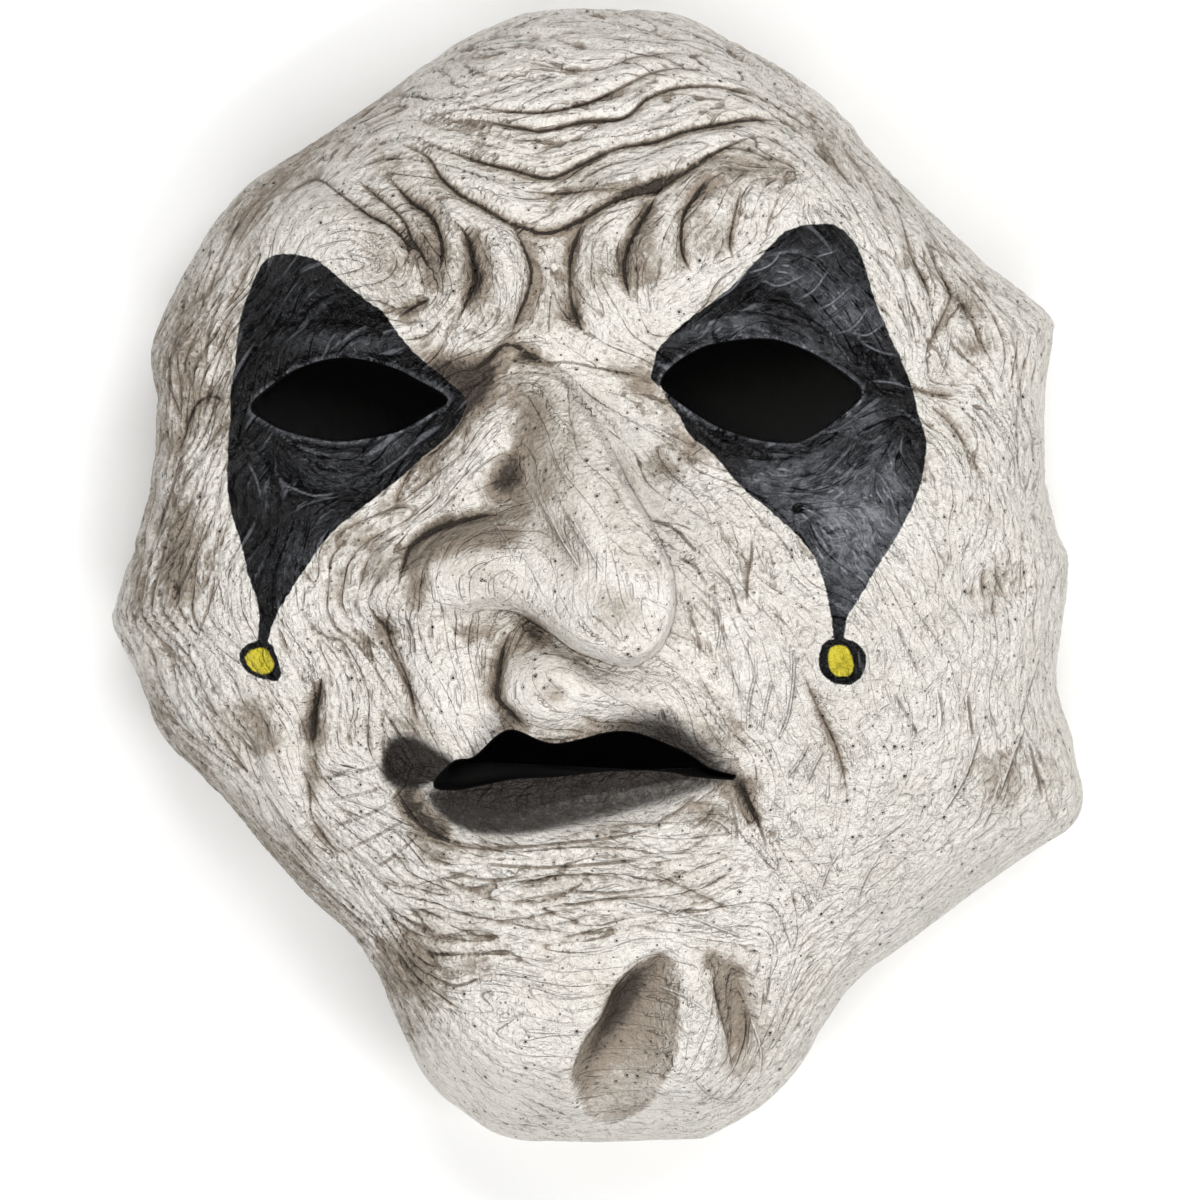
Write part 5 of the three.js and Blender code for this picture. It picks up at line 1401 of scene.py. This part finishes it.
bell = np.full(flat_x.shape, -PAINT_FADE, float)
for yellow_part, ring in zip(BELLS, BELL_RINGS):
    middle = np.mean(ring, axis=0)
    near = np.hypot(flat_x - middle[0], flat_y - middle[1]) < PAINT_FADE
    bell[near] = np.maximum(bell[near], depth_inside(yellow_part, flat_x[near], flat_y[near]))
    paint[near] = np.maximum(paint[near], depth_inside(ring, flat_x[near], flat_y[near]))
print("points under black paint:", int((paint > 0).sum()))

# %% [markdown]
# ## From the net to a mesh
# Clay, mould and brush all follow the form, so the values that steer colour and fine relief are worked out
# on the net, where the creases are known, and kept on the points of the mesh. A painted picture wrapped
# around the mask could hold them too, but it would stretch at the sides and need to be kept with the file.

# %% The mesh of the face
mesh = bpy.data.meshes.new("mask")
used_points = np.unique(all_faces)
renumber = np.zeros(len(points), int)
renumber[used_points] = np.arange(len(used_points))
mesh.from_pydata((points[used_points] * MM).tolist(), [], renumber[all_faces].tolist())
mesh.polygons.foreach_set("use_smooth", [True] * len(mesh.polygons))
face = bpy.data.objects.new("mask_shell", mesh)
bpy.context.scene.collection.objects.link(face)
print("mesh:", len(mesh.vertices), "points,", len(mesh.polygons), "triangles")

# %% The ripples' way on the unrolled skin, and a painted highlight along the black rims of the eye holes
flat_across, flat_up = tangents(outer["flat"])
flat_way = unit(along_threads[..., :1] * flat_up + along_threads[..., 1:] * flat_across)
way_across, way_up = flat_way[..., 0] ** 2 - flat_way[..., 1] ** 2, 2 * flat_way[..., 0] * flat_way[..., 1]
EDGE_HIGHLIGHT = 0.45
sheen_highlight_points = sheen_highlight.reshape(-1)
for ring in hole_rings:
    if points[ring][:, 1].mean() > 0:
        sheen_highlight_points[ring] = np.maximum(sheen_highlight_points[ring], EDGE_HIGHLIGHT)
print("points with rubbed black:", int((sheen_highlight > 0.2).sum()))

# %% The values on its points: those of the outer skin, and the one value on the inside
VALUES = {
    "wash_and_shade": (wash_and_shade, 0), "shade": (shade, 0), "lip_grey_and_shade": (lip_grey_and_shade, 0), "sheen_highlight": (sheen_highlight, 0), "sleek": (sleek, 0),
    "paint": (paint, -PAINT_FADE), "bell": (bell, -PAINT_FADE), "lively": (lively * rim_fade, 0),
    "crease_gap": (crease_gap, CREASE_REACH), "crease_dark": (crease_dark, 0),
    "cut_side": (cut_side, LINE_REACH), "cut_strength": (cut_strength, 0),
    "welt_side": (welt_side, LINE_REACH), "welt_strength": (welt_strength, 0),
    "wide_wrinkle": (wide_wrinkles, 1), "fine_wrinkle": (fine_wrinkles, 1),
    "way_across": (way_across, 0), "way_up": (way_up, 0),
}
outer_count, inner_count = len(outer_place), len(inner_place)
lip_depths = np.array(lip_depth)
# Painted shade on the cut walls of the openings, darker the deeper they go in
EDGE_DARK_MM, WASH_AND_SHADE_LIMIT = 1.5, 1.5
edge_dark = np.concatenate([np.zeros(outer_count + inner_count), smooth_step(lip_depths / EDGE_DARK_MM)])


def on_every_point(values, inside):
    """Values of the outer skin, one value for the inside, and those of the skin beside each cut edge."""
    values = values.reshape(outer_count, -1)
    deep = np.full((inner_count, values.shape[1]), inside, float)
    return np.vstack([values, deep, values[lip_source]])[used_points]


for name, (values, inside) in VALUES.items():
    spread = on_every_point(values, inside)[:, 0]
    if name == "wash_and_shade":
        spread = np.clip(spread + edge_dark[used_points], 0, WASH_AND_SHADE_LIMIT)
    mesh.attributes.new(name, "FLOAT", "POINT").data.foreach_set("value", spread.astype(np.float32))
flat_place = np.concatenate([outer["flat"], np.zeros(x.shape + (1,))], -1)
unrolled = mesh.attributes.new("unrolled", "FLOAT_VECTOR", "POINT")
unrolled.data.foreach_set("vector", on_every_point(flat_place, 0).ravel().astype(np.float32))
print("values on every point:", len(VALUES), "and the place on the unrolled skin")

# %% The trimmed rim keeps its sharp edges, as scissors leave them
RIM_TOLERANCE = 0.01
height = points[used_points][:, 2]
edge_ends = np.zeros(len(mesh.edges) * 2, int)
mesh.edges.foreach_get("vertices", edge_ends)
low = height[edge_ends.reshape(-1, 2)].max(1) < RIM_TOLERANCE
sharp = mesh.attributes.new("sharp_edge", "BOOLEAN", "EDGE")
sharp.data.foreach_set("value", low)
print("sharp edges at the rim:", int(low.sum()))

# %% [markdown]
# ## Latex, wash and paint
# Cured latex rubber is a matt ivory with a faint sheen. The painter rubs a brown wash into it, wipes the
# high places clean, greys the lips and paints the eye patches with a satin black. Shade in the folds,
# under the nose and round the mouth, and highlights on the black, are painted into the colour too. All
# of it is one material here, because it is one skin. Its colours are mixed from the values on the mesh.

# %% Colours and a helper for nodes
def linear(code):
    """A display colour such as #DEDBD6, as the linear light that the shader mixes."""
    parts = [int(code[i:i + 2], 16) / 255 for i in (1, 3, 5)]
    return [p / 12.92 if p <= 0.04045 else ((p + 0.055) / 1.055) ** 2.4 for p in parts] + [1.0]


def add(tree, kind, inputs, **settings):
    """Adds one node: its settings, then each input as a value, or as a link from a socket or a node."""
    new = tree.nodes.new("ShaderNode" + kind)
    for name, value in settings.items():
        setattr(new, name, value)
    for key, value in inputs.items():
        if isinstance(value, bpy.types.Node):
            value = value.outputs[0]
        if isinstance(value, bpy.types.NodeSocket):
            tree.links.new(value, new.inputs[key])
        else:
            new.inputs[key].default_value = value
    return new


def empty_material(name):
    material = bpy.data.materials.new(name)
    material.use_nodes = True
    tree = material.node_tree
    tree.nodes.clear()
    return material, tree


SOFT = {"interpolation_type": "SMOOTHSTEP"}
IVORY, IVORY_WARM = linear("#ECE9E4"), linear("#D9D2C7")
# The browns serve both the wash and painted shade; the lip grey also paints shade round the mouth; the grey
# for the black is a painted highlight
WASH_AND_SHADE_BROWN, DEEP_BROWN = linear("#95897B"), linear("#453D36")
LIP_GREY, PAINT_BLACK = linear("#302B28"), linear("#09090B")
HIGHLIGHT_GREY = linear("#85878D")
BELL_YELLOW = linear("#CDBE3A")
PINHOLE = linear("#463F38")
print("colours ready")

# %% The skin's pattern space, in millimetres
latex, tree = empty_material("slush_cast_latex_painted")
layer = {name: add(tree, "Attribute", {}, attribute_name=name).outputs["Fac"] for name in VALUES}
on_skin = add(tree, "Attribute", {}, attribute_name="unrolled").outputs["Vector"]
place = add(tree, "TexCoord", {}).outputs["Object"]
place_mm = add(tree, "VectorMath", {0: place, "Scale": 1 / MM}, operation="SCALE")
turn = add(tree, "Math", {0: layer["way_up"], 1: layer["way_across"]}, operation="ARCTAN2")
turn = add(tree, "Math", {0: turn, 1: 0.5, 2: math.pi / 2}, operation="MULTIPLY_ADD")
print("nodes so far:", len(tree.nodes))

# %% [markdown]
# ### Mottle, pinholes and specks
# Latex cures a little unevenly, and air bubbles in the plaster mould leave pinholes, some with a raised
# ring. Hundreds of them could be cut into the mesh one by one. Here noise gives the mottle, and a cell of
# a Voronoi pattern can hold one pinhole, as large as the cell's own random colour says.

# %% Mottling of the latex, and pinholes from bubbles in the plaster
MOTTLE_MM, GRIT_MM, PINHOLE_MM, SPECK_MM = 14, 0.7, 2.3, 1.3
# Plaster grit is finer than the picture can show, so it is drawn 0.7 mm coarse
mottle = add(tree, "TexNoise", {"Vector": place_mm, "Scale": 1 / MOTTLE_MM, "Detail": 4, "Roughness": 0.65})
grit = add(tree, "TexNoise", {"Vector": place_mm, "Scale": 1 / GRIT_MM, "Detail": 2, "Roughness": 0.6})
pits = []
# Distance apart, colour channel, smallest share and widest reach, edge of the mask, strength
for apart, channel, rare, widest, sink, full, strength in (
        (PINHOLE_MM, 0, 0.55, 0.17, -0.02, 0.03, 1.0), (SPECK_MM, 1, 0.7, 0.24, -0.03, 0.05, 0.7)):
    cells = add(tree, "TexVoronoi", {"Vector": place_mm, "Scale": 1 / apart}, feature="F1")
    size = add(tree, "SeparateColor", {0: cells.outputs["Color"]}).outputs[channel]
    reach = add(tree, "MapRange", {0: size, 1: rare, 2: 1.0, 3: 0.0, 4: widest})
    depth = add(tree, "Math", {0: reach, 1: cells.outputs["Distance"]}, operation="SUBTRACT")
    pits.append((reach, depth, add(tree, "MapRange", {0: depth, 1: sink, 2: full, 4: strength})))
(hole_reach, hole_depth, hole_mask), (_, _, speck_mask) = pits
hole_mask = add(tree, "Math", {0: hole_mask, 1: speck_mask}, operation="MAXIMUM")
RIM_OUT, RIM_IN = -0.16, -0.05
hole_rim = add(tree, "MapRange", {0: hole_depth, 1: RIM_OUT, 2: RIM_IN}, **SOFT)
with_hole = add(tree, "MapRange", {0: hole_reach, 1: 0.02, 2: 0.08})
hole_rim = add(tree, "Math", {0: hole_rim, 1: with_hole}, operation="MULTIPLY")
print("nodes so far:", len(tree.nodes))

# %% [markdown]
# ### Cuts, welts and thin dark lines
# A modelling tool leaves cuts a few tenths of a millimetre wide beside thin welts, and wash settles in
# every crease as a dark line. All of these are finer than the mesh. So the mesh only knows how far away
# the nearest line is, and the shader draws it from that distance, made a little ragged by the grit.

# %% Cuts and welts, as thin as they were measured
LINE_HALF_MM, RAGGED_MM = 0.3, 0.5
ridges = {}
for name in ("cut", "welt"):
    off_line = add(tree, "Math", {0: layer[name + "_side"]}, operation="ABSOLUTE")
    wavy = add(tree, "Math", {0: grit, 1: RAGGED_MM, 2: off_line}, operation="MULTIPLY_ADD")
    ridge = add(tree, "MapRange", {0: wavy, 1: LINE_HALF_MM + RAGGED_MM, 2: LINE_HALF_MM}, **SOFT)
    ridges[name] = add(tree, "Math", {0: ridge, 1: layer[name + "_strength"]}, operation="MULTIPLY")
print("nodes so far:", len(tree.nodes))

# %% Thin dark lines: the drawn creases, and the wrinkles wherever their grain crosses zero
line_gap = add(tree, "Math", {0: grit, 1: 0.6, 2: layer["crease_gap"]}, operation="MULTIPLY_ADD")
line_wide = add(tree, "MapRange", {0: layer["crease_dark"], 3: 0.15, 4: 0.5})
line_gap = add(tree, "Math", {0: line_wide, 1: line_gap}, operation="SUBTRACT")
crease_line = add(tree, "MapRange", {0: line_gap, 1: -0.3, 2: 0.25}, **SOFT)
crease_line = add(tree, "Math", {0: crease_line, 1: layer["crease_dark"]}, operation="MULTIPLY")
PATCHY_MM = 6
patchy = add(tree, "TexNoise", {"Vector": place_mm, "Scale": 1 / PATCHY_MM, "Detail": 3, "Roughness": 0.6})
lines = []
for name, groove, share in (("wide_wrinkle", 0.42, 0.0), ("fine_wrinkle", 0.5, 0.12)):
    off_zero = add(tree, "Math", {0: layer[name]}, operation="ABSOLUTE")
    reach = add(tree, "MapRange", {0: patchy, 1: 0.4 + share, 2: 0.7, 3: 0.0, 4: groove})
    reach = add(tree, "Math", {0: reach, 1: layer["lively"]}, operation="MULTIPLY")
    depth = add(tree, "Math", {0: reach, 1: off_zero}, operation="SUBTRACT")
    lines.append(add(tree, "MapRange", {0: depth, 1: -0.12, 2: 0.25}, **SOFT))
wrinkle_line = add(tree, "Math", {0: lines[1], 1: 0.5, 2: lines[0]}, operation="MULTIPLY_ADD")
print("nodes so far:", len(tree.nodes))

# %% [markdown]
# ### Fine relief
# Between the wrinkles the skin is covered in ripples under 2 mm apart that run along with them, in soft
# lumps and pebbles of clay, and in grit. Noise has no direction, but a Gabor pattern is made of stripes
# that have one. It runs on the unrolled skin, so that steep sides don't stretch it. All of it is bump.

# %% Ripples along the skin's own way
RIPPLE_MM, STRIPES = 1.7, 2.0
ripple = add(tree, "TexGabor", {"Vector": on_skin, "Scale": 1 / RIPPLE_MM / STRIPES,
                                "Frequency": STRIPES, "Anisotropy": 0.75, "Orientation": turn},
             gabor_type="2D")
ripple_height = add(tree, "MapRange", {0: ripple, 1: 0.2, 2: 0.8, 3: -0.5, 4: 0.5})
rugged = add(tree, "MapRange", {0: layer["sleek"], 3: 1.0, 4: 0.3})
ripple_share = add(tree, "MapRange", {0: layer["lively"], 3: 0.35, 4: 1.0})
ripple_share = add(tree, "Math", {0: ripple_share, 1: rugged}, operation="MULTIPLY")
ripple_height = add(tree, "Math", {0: ripple_height, 1: ripple_share}, operation="MULTIPLY")
print("nodes so far:", len(tree.nodes))

# %% Pebbles, lumps and grit of the clay, and all heights in one bump
PEBBLE_MM, LUMP_MM = 1.8, 4.2
pebble = add(tree, "TexNoise", {"Vector": place_mm, "Scale": 1 / PEBBLE_MM, "Detail": 3, "Roughness": 0.55})
pebble_height = add(tree, "MapRange", {0: pebble, 1: 0.25, 2: 0.75, 3: -0.75, 4: 0.75})
bare = add(tree, "MapRange", {0: layer["paint"], 1: -0.5, 2: 1.0, 3: 1.0, 4: 0.9})
for share in (bare, rugged):
    pebble_height = add(tree, "Math", {0: pebble_height, 1: share}, operation="MULTIPLY")
lumps = add(tree, "TexNoise", {"Vector": place_mm, "Scale": 1 / LUMP_MM, "Detail": 3, "Roughness": 0.5,
                               "Distortion": 1.6})
lump_share = add(tree, "MapRange", {0: layer["lively"], 1: 0.0, 2: 1.0, 3: 6.0, 4: 3.0})
lump_share = add(tree, "Math", {0: lump_share, 1: rugged}, operation="MULTIPLY")
fine = add(tree, "Math", {0: lumps, 1: lump_share, 2: pebble_height}, operation="MULTIPLY_ADD")
fine = add(tree, "Math", {0: grit, 1: 0.9, 2: fine}, operation="MULTIPLY_ADD")
fine = add(tree, "Math", {0: ripple_height, 1: fine}, operation="ADD")
puff = add(tree, "MapRange", {0: layer["fine_wrinkle"], 1: 0.9, 2: 1.9}, **SOFT)
for part, rise in ((hole_rim, 0.8), (hole_mask, -2.2), (puff, 1.3), (wrinkle_line, -1.2),
                   (crease_line, -1.5), (ridges["cut"], -1.6), (ridges["welt"], 2.6)):
    fine = add(tree, "Math", {0: part, 1: rise, 2: fine}, operation="MULTIPLY_ADD")
RELIEF_MM = 0.56
bump = add(tree, "Bump", {"Strength": 1.0, "Distance": RELIEF_MM * MM, "Height": fine})
print("nodes so far:", len(tree.nodes))

# %% [markdown]
# ### Wash and paint
# Thinned brown paint is brushed on and wiped off again, so it stays in hollows and on rough places, and
# thickest in the deepest creases. Painted shade joins it under folds and beside welts. A plain gradient
# would look airbrushed, so grit, pebbles and lumps break its edges up. The black is opaque, with a sharp
# edge, and painted lighter on its high places as highlights.

# %% Wash and painted shade, broken up by the grit of the surface
wash_grit = add(tree, "MapRange", {0: grit, 1: 0.3, 2: 0.7, 3: -0.09, 4: 0.09})
wash_mottle = add(tree, "MapRange", {0: mottle, 1: 0.3, 2: 0.7, 3: -0.14, 4: 0.12})
lump_tone = add(tree, "MapRange", {0: lumps, 1: 0.35, 2: 0.65, 3: -0.6, 4: 0.6})
lump_tone = add(tree, "Math", {0: lump_tone, 1: rugged}, operation="MULTIPLY")
relief_tone = add(tree, "Math", {0: ripple_height, 1: pebble_height}, operation="ADD")
relief_tone = add(tree, "Math", {0: relief_tone, 1: lump_tone}, operation="ADD")
# A painted shadow along one side of each welt; below, the welt itself is painted lighter as a highlight
welt_shadow = add(tree, "Math", {0: layer["welt_side"], 1: 1.0, 2: 0.8}, operation="COMPARE")
welt_shadow = add(tree, "Math", {0: welt_shadow, 1: layer["welt_strength"]}, operation="MULTIPLY")
shaded = layer["shade"]
for part in (layer["wash_and_shade"], wash_grit, wash_mottle):
    shaded = add(tree, "Math", {0: shaded, 1: part}, operation="ADD")
for part, amount in ((wrinkle_line, 0.4), (relief_tone, -0.2), (crease_line, 0.75),
                     (ridges["cut"], 0.7), (ridges["welt"], -0.5), (welt_shadow, 0.3)):
    shaded = add(tree, "Math", {0: part, 1: amount, 2: shaded}, operation="MULTIPLY_ADD")
skin = add(tree, "Mix", {0: mottle, 6: IVORY, 7: IVORY_WARM}, data_type="RGBA").outputs[2]
for start, full, brown in ((0.05, 0.8, WASH_AND_SHADE_BROWN), (0.75, 1.5, DEEP_BROWN)):
    cover = add(tree, "MapRange", {0: shaded, 1: start, 2: full}, **SOFT)
    skin = add(tree, "Mix", {0: cover, 6: skin, 7: brown}, data_type="RGBA").outputs[2]
print("nodes so far:", len(tree.nodes))

# %% Grey lips with their painted shade, pinholes, and the bare rim that shows along the lower edges of the black
lip_grey_and_shade_cover = layer["lip_grey_and_shade"]
for part, amount in ((wash_grit, 0.5), (pebble_height, -0.12)):
    lip_grey_and_shade_cover = add(tree, "Math", {0: part, 1: amount, 2: lip_grey_and_shade_cover}, operation="MULTIPLY_ADD")
lip_grey_and_shade_cover = add(tree, "MapRange", {0: lip_grey_and_shade_cover, 1: 0.05, 2: 1.1}, **SOFT)
EDGE_WAVE_MM, HALO_MM, HALO_TOP_MM, HALO_FULL_MM = 0.35, 0.3, 26, 10
ragged = add(tree, "MapRange", {0: pebble, 1: 0.3, 2: 0.7, 3: -EDGE_WAVE_MM / 2, 4: EDGE_WAVE_MM / 2})
paint_edge = add(tree, "Math", {0: layer["paint"], 1: ragged}, operation="ADD")
halo = add(tree, "MapRange", {0: paint_edge, 1: -HALO_MM - 0.2, 2: -HALO_MM, 3: 0.0, 4: 0.5})
up_the_face = add(tree, "SeparateXYZ", {0: place_mm}).outputs[1]
halo_share = add(tree, "MapRange", {0: up_the_face, 1: HALO_TOP_MM, 2: HALO_FULL_MM})
halo = add(tree, "Math", {0: halo, 1: halo_share}, operation="MULTIPLY")
for cover, colour in ((lip_grey_and_shade_cover, LIP_GREY), (hole_mask, PINHOLE), (halo, IVORY)):
    skin = add(tree, "Mix", {0: cover, 6: skin, 7: colour}, data_type="RGBA").outputs[2]
print("nodes so far:", len(tree.nodes))

# %% Black patches with painted highlights on their ridges, and yellow bells
# Painted highlights on the black: lighter on lumps, ripple stripes, puffs and welts, and where the sheen
# spots lie
highlit = add(tree, "MapRange", {0: lumps, 1: 0.4, 2: 0.6, 3: 0.35, 4: 0.85})
strokes = add(tree, "MapRange", {0: ripple, 1: 0.58, 2: 0.78}, **SOFT)
highlit = add(tree, "Math", {0: strokes, 1: 1.1, 2: highlit}, operation="MULTIPLY_ADD")
highlit = add(tree, "Math", {0: highlit, 1: layer["sheen_highlight"]}, operation="MULTIPLY")
for part, amount in ((puff, 0.35), (ridges["welt"], 0.8), (pebble_height, 0.07), (wrinkle_line, -0.4)):
    highlit = add(tree, "Math", {0: part, 1: amount, 2: highlit}, operation="MULTIPLY_ADD")
highlit.use_clamp = True
highlighted_black = add(tree, "Mix", {0: highlit, 6: PAINT_BLACK, 7: HIGHLIGHT_GREY}, data_type="RGBA").outputs[2]
black = add(tree, "MapRange", {0: paint_edge, 1: -0.1, 2: 0.15})
painted = add(tree, "Mix", {0: black, 6: skin, 7: highlighted_black}, data_type="RGBA").outputs[2]
bell_edge = add(tree, "Math", {0: layer["bell"], 1: ragged}, operation="ADD")
yellow = add(tree, "MapRange", {0: bell_edge, 1: -0.15, 2: 0.2})
painted = add(tree, "Mix", {0: yellow, 6: painted, 7: BELL_YELLOW}, data_type="RGBA").outputs[2]
print("nodes so far:", len(tree.nodes))

# %% The finished latex: bare rubber gives wide, weak highlights, and the black paint narrower ones
ROUGH_LATEX, ROUGH_PAINT = 0.5, 0.26
rough = add(tree, "MapRange", {0: black, 3: ROUGH_LATEX, 4: ROUGH_PAINT})
shader = add(tree, "BsdfPrincipled", {"Base Color": painted, "Roughness": rough, "IOR": 1.52,
                                      "Specular IOR Level": 0.22, "Normal": bump})
add(tree, "OutputMaterial", {0: shader})
print("latex nodes:", len(tree.nodes))

# %% [markdown]
# ## The inside of the shell
# Only blackness shows through the eyes and the mouth. The inside is given a nearly black colour as
# painted shade, so that the openings read as shadowed depth.

# %% Dark inside: painted shade, nearly black and without a sheen, so that the holes read as depth
CLOUD_MM, POOL_MM = 9, 0.5
inside, inside_tree = empty_material("painted_shade_inside")
inside_place = add(inside_tree, "TexCoord", {}).outputs["Object"]
inside_mm = add(inside_tree, "VectorMath", {0: inside_place, "Scale": 1 / MM}, operation="SCALE")
cloud = add(inside_tree, "TexNoise", {"Vector": inside_mm, "Scale": 1 / CLOUD_MM, "Detail": 5,
                                      "Roughness": 0.6})
shade_colour_inside = add(inside_tree, "Mix", {0: cloud, 6: linear("#060606"), 7: linear("#0C0B0A")}, data_type="RGBA")
pool = add(inside_tree, "Bump", {"Strength": 0.6, "Distance": POOL_MM * MM, "Height": cloud})
inside_shader = add(inside_tree, "BsdfPrincipled", {"Base Color": shade_colour_inside.outputs[2], "Roughness": 0.7,
                                                    "IOR": 1.4, "Specular IOR Level": 0.15, "Normal": pool})
add(inside_tree, "OutputMaterial", {0: inside_shader})
mesh.materials.append(latex)
mesh.materials.append(inside)
# The cut walls inside each lip take this dark colour too, as painted shade
deep_in = np.concatenate([np.zeros(outer_count, bool), np.ones(inner_count, bool), lip_depths > 0])
dark = deep_in[all_faces].all(1)
mesh.polygons.foreach_set("material_index", dark.astype(np.int32))
mesh.update()
print("faces inside:", int(dark.sum()))

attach(face, "root")
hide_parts("mask")

# %% [markdown]
# ## Floor, light and camera
# The mask lies on a plain pale floor under large soft lamps. The photograph shows it upright from the
# front, so the camera looks straight down here, from far enough away that the sides stay hidden.

# %% Floor: matt and nearly white, so that it lifts the shadows at the mask's sides
FLOOR_HALF_M = 6
floor_mesh = bpy.data.meshes.new("floor")
corners = [(FLOOR_HALF_M * side, FLOOR_HALF_M * end, 0) for side, end in ((-1, -1), (1, -1), (1, 1), (-1, 1))]
floor_mesh.from_pydata(corners, [], [(0, 1, 2, 3)])
floor = bpy.data.objects.new("floor", floor_mesh)
bpy.context.scene.collection.objects.link(floor)
floor_paint, floor_tree = empty_material("pale_floor")
floor_shader = add(floor_tree, "BsdfPrincipled", {"Base Color": linear("#FAFAF9"), "Roughness": 0.8})
add(floor_tree, "OutputMaterial", {0: floor_shader.outputs[0]})
floor_mesh.materials.append(floor_paint)
print("floor:", 2 * FLOOR_HALF_M, "m wide")

# %% Lamps: turn around the mask, height angle, distance, size and power
from mathutils import Vector

LAMPS = [
    (75, 60, 1.7, 1.4, 0.3, 17.5), (235, 60, 1.7, 1.1, 0.3, 12), (305, 60, 1.7, 1.1, 0.3, 13.5),
    (20, 28, 1.8, 0.9, 0.4, 5.6), (165, 28, 1.8, 0.9, 0.4, 3.8),
]
for number, (azimuth, height_angle, distance, wide, tall, power) in enumerate(LAMPS):
    lamp = bpy.data.lights.new(f"lamp_{number}", "AREA")
    lamp.shape = "RECTANGLE"
    lamp.size = wide
    lamp.size_y = tall
    lamp.energy = power
    lamp_object = bpy.data.objects.new(lamp.name, lamp)
    a, e = math.radians(azimuth), math.radians(height_angle)
    spot = Vector((math.cos(a) * math.cos(e), math.sin(a) * math.cos(e), math.sin(e))) * distance
    lamp_object.location = spot
    lamp_object.rotation_euler = (Vector((0, 0, 0.05)) - spot).to_track_quat("-Z", "Y").to_euler()
    bpy.context.scene.collection.objects.link(lamp_object)
WORLD_LIGHT = 0.02
world = bpy.data.worlds.new("studio")
world.use_nodes = True
world.node_tree.nodes["Background"].inputs[0].default_value = linear("#FFFFFF")
world.node_tree.nodes["Background"].inputs[1].default_value = WORLD_LIGHT
bpy.context.scene.world = world
bpy.context.scene.view_settings.view_transform = "Standard"
bpy.context.scene.view_settings.look = "None"
print("lamps:", len(LAMPS))

# %% Camera: 2.4 m above the rim, framed as the photograph
CAMERA_X, CAMERA_Y, CAMERA_M = 0.57 * MM, -5.6 * MM, 2.4
FRAME_MM, FRAME_LEVEL_MM, SENSOR_MM = 274.9, 22, 36
camera = bpy.data.cameras.new("photo_camera")
camera.sensor_width = SENSOR_MM
camera.lens = SENSOR_MM * (CAMERA_M / MM - FRAME_LEVEL_MM) / FRAME_MM
camera_object = bpy.data.objects.new("photo_camera", camera)
camera_object.location = (CAMERA_X, CAMERA_Y, CAMERA_M)
bpy.context.scene.collection.objects.link(camera_object)
bpy.context.scene.camera = camera_object
print("lens:", round(camera.lens, 1), "mm")
